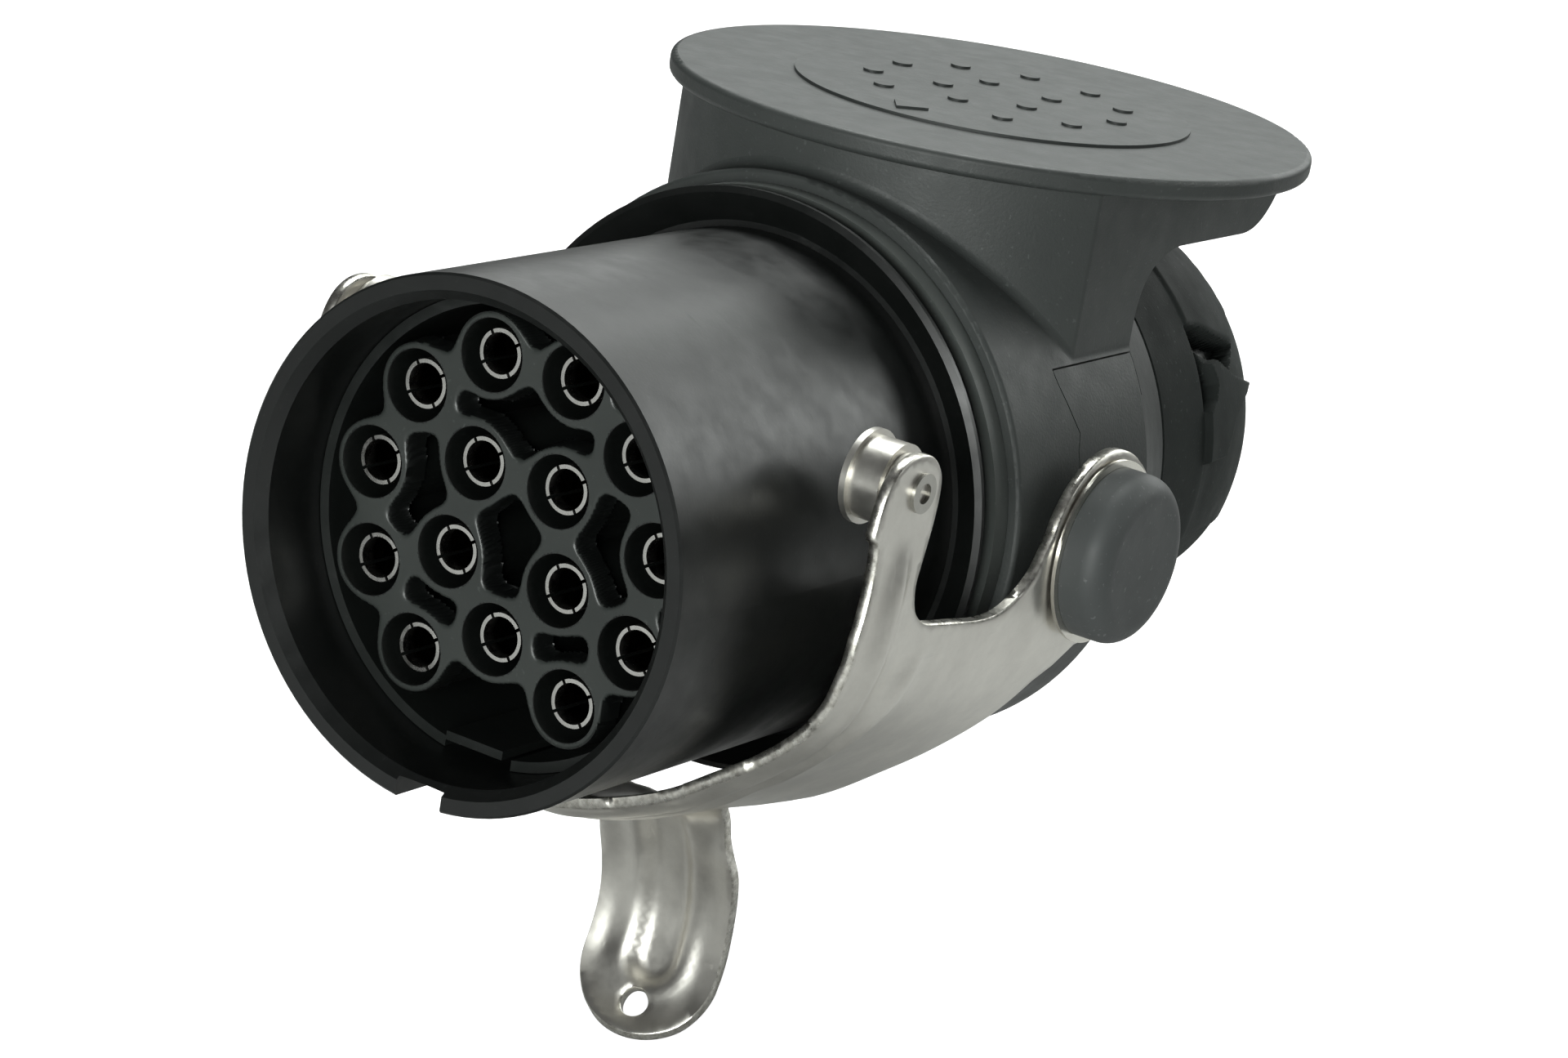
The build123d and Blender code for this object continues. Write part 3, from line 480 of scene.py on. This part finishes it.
def build_bail(face_look, edge_look):
    """The bail's sheet: the blank triangulated flat, bent and pressed, with rounded sheared edges."""
    loops = blank_loops()
    insets = [inset_loop(lp, EDGE_ROUND) for lp in loops]
    edges = []
    start = 0
    for lp in insets:
        edges += [(start + k, start + (k + 1) % len(lp)) for k in range(len(lp))]
        start += len(lp)
    flat, _, tris, origin, _, _ = delaunay_2d_cdt([Vector(p) for p in fill_blank(insets)], edges, [], 1, 1e-6)
    keep = []
    for t in tris:
        c = (sum(flat[i].x for i in t) / 3, sum(flat[i].y for i in t) / 3)
        if in_blank(c, insets):
            keep.append(t)
    back = {}
    for i, src in enumerate(origin):
        for k in src:
            back[k] = i
    n = len(flat)
    verts = [sheet_surface(p.x, p.y, 0) for p in flat] + [sheet_surface(p.x, p.y, SHEET) for p in flat]
    faces = [tuple(reversed(t)) for t in keep] + [tuple(i + n for i in t) for t in keep]
    face_count = len(faces)
    start = 0
    for lp in loops:
        m = len(lp)
        low = len(verts)
        verts += [sheet_surface(*p, EDGE_ROUND) for p in lp]
        high = len(verts)
        verts += [sheet_surface(*p, SHEET - EDGE_ROUND) for p in lp]
        ids = [back[start + k] for k in range(m)]
        for k in range(m):
            q = (k + 1) % m
            faces.append((ids[k], ids[q], low + q, low + k))
            faces.append((low + k, low + q, high + q, high + k))
            faces.append((high + k, high + q, ids[q] + n, ids[k] + n))
        start += m
    me = bpy.data.meshes.new("bail_sheet")
    me.from_pydata([v * MM for v in verts], [], faces)
    me.materials.append(face_look)
    me.materials.append(edge_look)
    me.polygons.foreach_set("material_index", [0 if i < face_count else 1 for i in range(len(faces))])
    me.polygons.foreach_set("use_smooth", [True] * len(faces))
    bm = bmesh.new()
    bm.from_mesh(me)
    bmesh.ops.recalc_face_normals(bm, faces=bm.faces)
    bm.to_mesh(me)
    bm.free()
    me.set_sharp_from_angle(angle=math.radians(BAIL_SHARP_DEG))
    ob = bpy.data.objects.new("bail_sheet", me)
    bpy.context.scene.collection.objects.link(ob)
    return ob


# ------------------------------------------------------------------ looks
def fresh(name):
    """A new node material, its tree and its shader."""
    m = bpy.data.materials.new(name)
    m.use_nodes = True
    tree = m.node_tree
    return m, tree, tree.nodes["Principled BSDF"]


def place(tree, stretch=(1, 1, 1)):
    """Object-space position, each axis times its stretch."""
    coord = tree.nodes.new("ShaderNodeTexCoord")
    mapping = tree.nodes.new("ShaderNodeMapping")
    mapping.inputs["Scale"].default_value = stretch
    tree.links.new(coord.outputs["Object"], mapping.inputs["Vector"])
    return mapping.outputs["Vector"]


def noise(tree, where, scale, detail, rough=0.55):
    """Fractal noise between 0 and 1."""
    n = tree.nodes.new("ShaderNodeTexNoise")
    n.inputs["Scale"].default_value = scale
    n.inputs["Detail"].default_value = detail
    n.inputs["Roughness"].default_value = rough
    tree.links.new(where, n.inputs["Vector"])
    return n.outputs["Fac"]


def span(tree, value, low, high, new_low, new_high):
    """The value stretched from low..high to new_low..new_high, clamped."""
    n = tree.nodes.new("ShaderNodeMapRange")
    for key, v in zip(("From Min", "From Max", "To Min", "To Max"), (low, high, new_low, new_high)):
        n.inputs[key].default_value = v
    tree.links.new(value, n.inputs["Value"])
    return n.outputs["Result"]


def sums(tree, kind, a, b):
    """One Math node on two sockets or numbers."""
    n = tree.nodes.new("ShaderNodeMath")
    n.operation = kind
    for i, v in enumerate((a, b)):
        if isinstance(v, (int, float)):
            n.inputs[i].default_value = v
        else:
            tree.links.new(v, n.inputs[i])
    return n.outputs[0]


def two_tone(tree, fac, a, b):
    """Mixes two colours, each a colour socket or an (r, g, b)."""
    n = tree.nodes.new("ShaderNodeMix")
    n.data_type = "RGBA"
    for i, v in ((6, a), (7, b)):
        if isinstance(v, tuple):
            n.inputs[i].default_value = (*v, 1)
        else:
            tree.links.new(v, n.inputs[i])
    tree.links.new(fac, n.inputs[0])
    return n.outputs[2]


def lighter(colour, times, plus=0.0):
    """The colour multiplied and lifted, at most 1."""
    return tuple(min(c * times + plus, 1) for c in colour)


def bump(tree, shader, heights):
    """Chains (height, strength, distance) bumps into the shader's normal."""
    last = None
    for height, strength, distance in heights:
        n = tree.nodes.new("ShaderNodeBump")
        n.inputs["Strength"].default_value = strength
        n.inputs["Distance"].default_value = distance
        tree.links.new(height, n.inputs["Height"])
        if last:
            tree.links.new(last, n.inputs["Normal"])
        last = n.outputs["Normal"]
    tree.links.new(last, shader.inputs["Normal"])


MOULD_SWELL = 0.08                     # strength of the slow waviness in moulded faces
CONTACT_MOUTH_Y = 0.0119               # metres, like the rivets' centre and socket
RIVET_Y, RIVET_Z, RIVET_SOCKET_R = 0.0312, 0.0140, 0.0012
# dark and light tone, roughness, stretch of the drawn grain, waviness
TURNED_STEEL = ((0.40, 0.39, 0.36), (0.56, 0.55, 0.51), 0.3, (1500, 120, 120), 0.15)


def moulded(name, dark, light, rough, grain, grain_depth, scuffs, specular=0.5):
    """Moulded plastic or rubber: tone and gloss drift, fine grain, faint scuffs and settled dust."""
    m, tree, shader = fresh(name)
    where = place(tree)
    drift = noise(tree, where, 38, 5)
    fine = noise(tree, where, grain, 3)
    mid = noise(tree, where, 260, 4)
    lines = noise(tree, place(tree, (60, 900, 260)), 1.0, 6, 0.7)
    tone = two_tone(tree, span(tree, drift, 0.35, 0.65, 0, 1), dark, light)
    specks = span(tree, noise(tree, where, 1500, 2), 0.66, 0.74, 0, 0.35 * scuffs)
    tone = two_tone(tree, specks, tone, lighter(light, 3, 0.03))
    marks = span(tree, lines, 0.63, 0.72, 0, 0.3 * scuffs)
    tone = two_tone(tree, marks, tone, lighter(light, 2, 0.02))
    tree.links.new(tone, shader.inputs["Base Color"])
    gloss = sums(tree, "ADD", span(tree, mid, 0.3, 0.7, rough - 0.05, rough + 0.06), marks)
    tree.links.new(gloss, shader.inputs["Roughness"])
    shader.inputs["Specular IOR Level"].default_value = specular
    bump(tree, shader, [(drift, MOULD_SWELL, 0.0004), (fine, grain_depth, 0.00006)])
    return m


def metal(name, dark, light, rough, stretch, wave, scratch=0.5, grain=0.3):
    """Satin metal: pressed-sheet waviness, a drawn grain, scratches and a few dull patches."""
    m, tree, shader = fresh(name)
    where = place(tree)
    slow = noise(tree, where, 55, 4)
    patch = noise(tree, where, 130, 6, 0.65)
    drawn = noise(tree, place(tree, stretch), 1.0, 5, 0.7)
    cross = noise(tree, place(tree, (stretch[2] * 0.7, stretch[0] * 1.3, stretch[1])), 1.0, 4, 0.75)
    fine = noise(tree, where, 2600, 2)
    tone = two_tone(tree, span(tree, patch, 0.32, 0.68, 0, 1), dark, light)
    streak = span(tree, drawn, 0.6, 0.72, 0, 0.35 * scratch)
    tone = two_tone(tree, streak, tone, lighter(dark, 0.62))
    nick = span(tree, cross, 0.66, 0.74, 0, 0.5 * scratch)
    tone = two_tone(tree, nick, tone, lighter(light, 1.2))
    tree.links.new(tone, shader.inputs["Base Color"])
    shader.inputs["Metallic"].default_value = 1.0
    gloss = sums(tree, "ADD", span(tree, patch, 0.3, 0.7, rough - 0.06, rough + 0.08), nick)
    tree.links.new(gloss, shader.inputs["Roughness"])
    bump(tree, shader, [(slow, wave, 0.0012), (drawn, grain, 0.00003), (fine, grain, 0.00002)])
    return m


def contact_metal(name):
    """Silver plated tube: bright at its mouth, with painted shade that turns it dark brown further in."""
    m, tree, shader = fresh(name)
    coord = tree.nodes.new("ShaderNodeTexCoord")
    parts = tree.nodes.new("ShaderNodeSeparateXYZ")
    tree.links.new(coord.outputs["Object"], parts.inputs[0])
    mouth = CONTACT_MOUTH_Y
    depth = span(tree, parts.outputs["Y"], mouth + 0.0002, mouth + 0.0022, 0, 1)
    where = place(tree)
    patch = noise(tree, where, 700, 4)
    bright = two_tone(tree, patch, (0.62, 0.61, 0.58), (0.86, 0.85, 0.82))
    # painted shade: dark brown colour for the tube's inside, blended in with depth past the mouth
    inner = two_tone(tree, patch, (0.030, 0.022, 0.015), (0.085, 0.065, 0.045))
    tree.links.new(two_tone(tree, depth, bright, inner), shader.inputs["Base Color"])
    shader.inputs["Metallic"].default_value = 1.0
    tree.links.new(span(tree, patch, 0.3, 0.7, 0.2, 0.34), shader.inputs["Roughness"])
    bump(tree, shader, [(noise(tree, where, 3000, 2), 0.2, 0.00002)])
    return m


def sheared_edge(name):
    """The cut edge of the sheet: bright, torn across its thickness, with small burrs."""
    m, tree, shader = fresh(name)
    where = place(tree)
    torn = noise(tree, where, 1100, 5, 0.65)
    lumps = noise(tree, where, 520, 3)
    tree.links.new(two_tone(tree, span(tree, torn, 0.35, 0.62, 0, 1), (0.50, 0.48, 0.43), (0.90, 0.88, 0.82)),
                   shader.inputs["Base Color"])
    shader.inputs["Metallic"].default_value = 1.0
    tree.links.new(span(tree, lumps, 0.3, 0.7, 0.22, 0.42), shader.inputs["Roughness"])
    bump(tree, shader, [(lumps, 0.12, 0.0003), (torn, 0.25, 0.0001)])
    return m


def rivet_metal(name):
    """Turned steel with a near-black disc painted in the middle of the rivet's head as the shade inside its
    socket.
    """
    m = metal(name, *TURNED_STEEL)
    tree = m.node_tree
    shader = tree.nodes["Principled BSDF"]
    was = shader.inputs["Base Color"].links[0].from_socket
    coord = tree.nodes.new("ShaderNodeTexCoord")
    parts = tree.nodes.new("ShaderNodeSeparateXYZ")
    tree.links.new(coord.outputs["Object"], parts.inputs[0])
    dy = sums(tree, "SUBTRACT", parts.outputs["Y"], RIVET_Y)
    dz = sums(tree, "SUBTRACT", parts.outputs["Z"], RIVET_Z)
    squared = sums(tree, "ADD", sums(tree, "MULTIPLY", dy, dy), sums(tree, "MULTIPLY", dz, dz))
    away = sums(tree, "SQRT", squared, 0)
    # painted shade: a near-black disc of radius RIVET_SOCKET_R stands in for the shade inside the socket
    ring = span(tree, away, RIVET_SOCKET_R - 0.00008, RIVET_SOCKET_R + 0.00008, 0, 1)
    tree.links.new(two_tone(tree, ring, (0.012, 0.011, 0.010), was), shader.inputs["Base Color"])
    return m


LOOKS = {
    "shell_black": moulded("skirt plastic", (0.0044, 0.0052, 0.0050), (0.0070, 0.0080, 0.0076), 0.36,
                           grain=2200, grain_depth=0.12, specular=0.55, scuffs=0.5),
    "housing_grey": moulded("housing plastic", (0.034, 0.0385, 0.037), (0.046, 0.051, 0.049), 0.52,
                            grain=2600, grain_depth=0.55, scuffs=0.6),
    "nut_black": moulded("nut plastic", (0.027, 0.031, 0.0295), (0.038, 0.043, 0.041), 0.66,
                         grain=2600, grain_depth=0.5, specular=0.1, scuffs=0.7),
    # painted light: the insert's own plastic made lighter for the webs' front faces, which stand in the light
    "web_black": moulded("web plastic with painted light", (0.027, 0.031, 0.029), (0.038, 0.043, 0.040), 0.34,
                         grain=2400, grain_depth=0.2, scuffs=0.5),
    "insert_black": moulded("insert plastic", (0.008, 0.0095, 0.009), (0.013, 0.015, 0.014), 0.36,
                            grain=2400, grain_depth=0.15, scuffs=0.4),
    "seal_rubber": moulded("seal rubber", (0.060, 0.067, 0.063), (0.078, 0.086, 0.081), 0.45,
                           grain=1800, grain_depth=0.2, scuffs=0.4),
    "cap_rubber": moulded("cap rubber", (0.054, 0.059, 0.059), (0.072, 0.077, 0.077), 0.55,
                          grain=1500, grain_depth=0.35, scuffs=0.9),
    "stainless": metal("stainless sheet", (0.65, 0.63, 0.585), (0.80, 0.78, 0.73), 0.36,
                       stretch=(900, 90, 900), wave=0.16, scratch=0.35, grain=0.2),
    "steel": metal("turned steel", *TURNED_STEEL),
    "washer_bright": metal("plated washer", (0.72, 0.70, 0.64), (0.86, 0.84, 0.78), 0.2,
                           stretch=(300, 900, 900), wave=0.2, scratch=0.3),
    "contact_plating": contact_metal("contact plating"),
}
EDGE = sheared_edge("sheared edge")
RIVET = rivet_metal("rivet steel")
SLOT = {s["node"]: s["material_slot"] for s in frame["record"]["subparts"]}
for node, ob in frame["nodes"].items():
    ob.data.materials.clear()
    ob.data.materials.append(RIVET if node.startswith("roller_rivet") else LOOKS[SLOT[node]])


# ------------------------------------------------------------------ bail in place of the CAD one
bail = build_bail(LOOKS["stainless"], EDGE)
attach(bail, "bail")
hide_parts("bail_lever")


# ------------------------------------------------------------------ gland nut
# (radius, y) in millimetres
NUT_OUTER = [(32.5, 109.0), (32.5, 112.0), (32.5, 116.0), (32.5, 119.6), (32.3, 121.0), (32.0, 123.0),
             (31.7, 126.0), (31.1, 129.5), (30.1, 134.0), (28.3, 139.4), (25.7, 144.5), (22.2, 149.0),
             (18.0, 152.0), (13.5, 153.5), (11.5, 154.0)]
NUT_INNER = [(9.5, 153.4), (9.5, 150.8), (13.0, 150.6), (17.0, 148.8), (20.5, 145.6), (23.6, 141.4),
             (25.8, 136.0), (26.6, 131.0), (26.7, 128.4), (26.7, 121.7), (29.3, 121.6), (29.3, 108.2),
             (31.7, 108.2)]
NUT_SEGMENTS, NUT_STEPS, NUT_SHARP_DEG = 720, 10, 38
NUT_REPEAT = 180.0                     # degrees after which the pattern repeats
NUT_POCKET_R = 27.2                    # smallest radius a pocket reaches
NUT_SPIGOT_R, NUT_SPIGOT_Y = 29.6, 121.5   # up to this y the pockets stay outside the threaded spigot
DEG_TO_MM = 0.567                      # one degree along the nut's outer face
# outlines on the nut's face as (degrees, y)
POCKET = [(31.2, 120.2), (36.9, 120.2), (36.0, 124.0), (33.3, 128.6), (30.2, 135.2), (23.6, 130.4),
          (28.4, 125.0)]
SLIT = [(30.6, 120.2), (27.0, 122.4), (22.4, 123.3), (19.4, 122.4), (17.0, 120.2)]
PAD = [(28.2, 125.2), (23.6, 130.2), (21.6, 134.6), (20.0, 139.5), (13.3, 130.2), (4.4, 126.4), (4.4, 120.4),
       (16.4, 120.4), (19.0, 122.8), (22.4, 123.9), (27.0, 122.9)]
RECESS = [(108.0, 100.0), (163.5, 100.0), (163.8, 127.0), (160.0, 142.0), (150.0, 149.0), (122.0, 149.0),
          (112.0, 142.0)]
LOBE = [(37.2, 120.4), (36.4, 124.2), (33.8, 129.0), (31.0, 135.6), (40.0, 139.0), (60.0, 137.0),
        (72.0, 131.0), (78.0, 120.4)]
RECESS_DEPTH, RECESS_DOME_DEPTH = 1.9, 1.9   # on the band, and added to it on the dome
RECESS_DOME_Y, RECESS_DOME_RAMP = 121.5, 3.5
RECESS_SOFT = 0.7


def in_mm(loop):
    """The loop with its degrees as millimetres along the nut's face."""
    return [(a * DEG_TO_MM, y) for a, y in loop]


def depth_in(p, loop):
    """Distance from p to the loop's outline, positive inside."""
    d = seg_dist(p, loop + loop[:1])
    return d if inside(p, loop) else -d


# outline, half width of its soft edge, height
NUT_RELIEF = [(in_mm(POCKET), 0.25, -5.2), (in_mm(SLIT), 0.2, -4.4), (in_mm(PAD), 0.22, 1.15),
              (in_mm(LOBE), 0.6, 0.45)]
NUT_RECESS = in_mm(RECESS)
# pocket and slit outlines whose faces take the darker insert look as painted shade
NUT_POCKET_SHADE = (in_mm(POCKET), in_mm(SLIT))
NUT_OUTER_PROFILE = catmull(NUT_OUTER, NUT_STEPS)
NUT_CACHE = {}


def nut_warp(angle, r, y, i):
    """Pockets, slits and finger pads pressed into the nut's outer face, repeated round it."""
    if i >= len(NUT_OUTER_PROFILE):
        return r, y
    a = round(math.degrees(angle) % NUT_REPEAT, 4)
    key = (a, i)
    if key not in NUT_CACHE:
        p = (a * DEG_TO_MM, y)
        change = 0.0
        for loop, soft, height in NUT_RELIEF:
            change += height * ease(0.5 + depth_in(p, loop) / (2 * soft))
        recess = RECESS_DEPTH + RECESS_DOME_DEPTH * ease((y - RECESS_DOME_Y) / RECESS_DOME_RAMP)
        NUT_CACHE[key] = change - recess * ease(0.5 + depth_in(p, NUT_RECESS) / (2 * RECESS_SOFT))
    change = NUT_CACHE[key]
    floor_r = NUT_POCKET_R if y > NUT_SPIGOT_Y else NUT_SPIGOT_R
    return (max(r + change, min(r, floor_r)) if change < 0 else r + change), y


nut = lathe_y("gland_nut_shell", NUT_OUTER_PROFILE + NUT_INNER, LOOKS["nut_black"], NUT_SEGMENTS,
              nut_warp, NUT_SHARP_DEG)
# painted shade: faces inside the pockets and slits take the darker insert look
nut.data.materials.append(LOOKS["insert_black"])
for face in nut.data.polygons:
    at = face.center / MM
    spot = ((math.degrees(math.atan2(at.z, at.x)) % NUT_REPEAT) * DEG_TO_MM, at.y)
    if any(inside(spot, loop) for loop in NUT_POCKET_SHADE):
        face.material_index = 1
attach(nut, "nut")
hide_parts("gland_nut")


# ------------------------------------------------------------------ rounded webs between the insert's bosses
# contacts, counted from 0, that a web joins
WEB_PAIRS = ((0, 1), (1, 2), (2, 3), (3, 4), (4, 5), (5, 6), (6, 7), (7, 8), (8, 9),
             (14, 0), (14, 9), (14, 10), (14, 11), (10, 1), (10, 13), (13, 3), (13, 12),
             (12, 11), (12, 6), (11, 8))
WEB_FRONT, WEB_DEPTH, WEB_ROUND = 10.24, 3.2, 0.35   # y of the front, height of the walls, radius of the edge
WEB_FALL = 14.0                        # how steeply the walls drop beyond the outline
WEB_HALF, WEB_BLEND = 0.75, 1.25       # half width, and softness of the corners between webs and bosses
WEB_STEP = 0.22                        # spacing of the height field
WEB_MARGIN = 0.4                       # how far past the outline the walls are followed
WEB_SHARP_DEG = 60
BOSS_OUT, BOSS_KEEP = 5.05, 4.4        # outer radius of a boss, and inner radius of its rim
BOSS_FAR = 5                           # further than this outside every boss there is no web
INSERT_REACH = 26.2                    # radius of the whole field


def web_field(x, z, spots):
    """Distance outside (positive) or inside (negative) the blended outline of bosses and webs, or None."""
    near = [math.hypot(x - cx, z - cz) for cx, cz in spots]
    least = min(near)
    if least > BOSS_OUT + BOSS_FAR or least < BOSS_KEEP - WEB_STEP / 2:
        return None
    total = sum(math.exp((BOSS_OUT - d) / WEB_BLEND) for d in near)
    for a, b in WEB_PAIRS:
        if min(near[a], near[b]) < 2 * BOSS_OUT + 2:
            total += math.exp((WEB_HALF - seg_dist((x, z), (spots[a], spots[b]))) / WEB_BLEND)
    return -WEB_BLEND * math.log(total)


def contact_spots():
    """(x, z) of the fifteen contacts' centres, in millimetres."""
    spots = []
    for number in range(1, 16):
        low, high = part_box(f"contact_{number:02d}")
        spots.append((500 * (low[0] + high[0]), 500 * (low[2] + high[2])))    # half, metres to millimetres
    return spots


def web_drop(f):
    """How far the surface lies behind the front: a rounded edge inside the outline, then a steep wall."""
    if f <= -WEB_ROUND:
        return 0.0
    bent = min(f + WEB_ROUND, WEB_ROUND)
    return WEB_ROUND - math.sqrt(max(WEB_ROUND ** 2 - bent ** 2, 0)) + max(f, 0) * WEB_FALL


def build_webs(look, wall_shade_look):
    """Front face of the insert's webs and boss rims as one height field; the walls get a darker look as
    painted shade.
    """
    spots = contact_spots()
    count = int(2 * INSERT_REACH / WEB_STEP) + 1
    ids, verts, faces = {}, [], []
    for i in range(count):
        for j in range(count):
            x, z = -INSERT_REACH + i * WEB_STEP, -INSERT_REACH + j * WEB_STEP
            if math.hypot(x, z) > INSERT_REACH:
                continue
            f = web_field(x, z, spots)
            if f is None or f > WEB_MARGIN:
                continue
            cx, cz = min(spots, key=lambda c: math.hypot(x - c[0], z - c[1]))
            r = math.hypot(x - cx, z - cz)
            if r < BOSS_KEEP + WEB_STEP / 2:
                x, z = cx + (x - cx) * BOSS_KEEP / r, cz + (z - cz) * BOSS_KEEP / r
            ids[i, j] = len(verts)
            verts.append((x, WEB_FRONT + min(web_drop(f), WEB_DEPTH), z))
    for (i, j), a in ids.items():
        ring = [ids.get(k) for k in ((i + 1, j), (i + 1, j + 1), (i, j + 1))]
        if None not in ring and min(verts[k][1] for k in (a, *ring)) < WEB_FRONT + WEB_DEPTH - 0.01:
            faces.append((a, *ring))
    piece = mesh_piece("insert_webs", verts, faces, look, WEB_SHARP_DEG)
    piece.data.materials.append(wall_shade_look)
    # painted shade: faces set back behind the rounded front get the darker wall look
    for poly in piece.data.polygons:
        if max(verts[k][1] for k in poly.vertices) > WEB_FRONT + WEB_ROUND + 0.1:
            poly.material_index = 1
    return piece


# web_black is the insert plastic lightened as painted light on the webs' fronts; shell_black darkens the
# walls as painted shade
webs = build_webs(LOOKS["web_black"], LOOKS["shell_black"])
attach(webs, "plug")


# ------------------------------------------------------------------ studio
# metres
FLOOR_Z = -0.0775
FLOOR_HALF = 6.0
FLOOR_GLOW = 0.85                      # light added to the floor's own where the camera sees it
LIGHT_AIM = (0.0, 0.06, 0.0)
SOFTBOX = (0.965, 1.0, 0.975)          # colour of every light
LIGHTS = (                             # name, place, size, watts
    ("overhead", (-0.22, 0.42, 0.88), (0.6, 0.6), 10.5),
    ("rear_left", (-0.6, 1.0, 0.42), (0.45, 0.35), 0.8),
    ("rear_right", (0.2, 1.15, 0.52), (1.15, 0.5), 6.6),
    ("front", (0.26, -1.0, 0.15), (0.7, 0.4), 9.5),
    ("right", (0.88, 0.42, 0.42), (0.4, 0.4), 0.45),
)
SKY_STRENGTH = 0.06


def softbox(name, where, size, watts):
    """A rectangular area light aimed at the plug."""
    data = bpy.data.lights.new(name, "AREA")
    data.shape = "RECTANGLE"
    data.size, data.size_y = size
    data.energy = watts
    data.color = SOFTBOX
    ob = bpy.data.objects.new(name, data)
    ob.location = where
    ob.rotation_euler = (Vector(LIGHT_AIM) - Vector(where)).to_track_quat("-Z", "Y").to_euler()
    bpy.context.scene.collection.objects.link(ob)


def backdrop_look():
    """Paper floor: white to the camera, a quieter white to everything else."""
    m, tree, shader = fresh("paper")
    out = tree.nodes["Material Output"]
    grain = noise(tree, place(tree), 400, 4)
    tone = two_tone(tree, grain, (0.42, 0.42, 0.42), (0.48, 0.48, 0.48))
    tree.links.new(tone, shader.inputs["Base Color"])
    shader.inputs["Roughness"].default_value = 0.9
    bump(tree, shader, [(grain, 0.1, 0.0002)])
    glow = tree.nodes.new("ShaderNodeEmission")
    rays = tree.nodes.new("ShaderNodeLightPath")
    seen = sums(tree, "MULTIPLY", rays.outputs["Is Camera Ray"], FLOOR_GLOW)
    tree.links.new(seen, glow.inputs["Strength"])
    both = tree.nodes.new("ShaderNodeAddShader")
    tree.links.new(shader.outputs[0], both.inputs[0])
    tree.links.new(glow.outputs[0], both.inputs[1])
    tree.links.new(both.outputs[0], out.inputs["Surface"])
    return m


corners = [(x * FLOOR_HALF, y * FLOOR_HALF, FLOOR_Z) for x, y in ((-1, -1), (1, -1), (1, 1), (-1, 1))]
floor = mesh_piece("floor", corners, [(0, 1, 2, 3)], backdrop_look(), scale=1.0)
for light in LIGHTS:
    softbox(*light)
world = bpy.data.worlds.new("world")
bpy.context.scene.world = world
world.use_nodes = True
sky = world.node_tree.nodes["Background"]
sky.inputs["Color"].default_value = (1, 1, 1, 1)
sky.inputs["Strength"].default_value = SKY_STRENGTH
bpy.context.scene.view_settings.view_transform = "Standard"
bpy.context.scene.view_settings.look = "None"
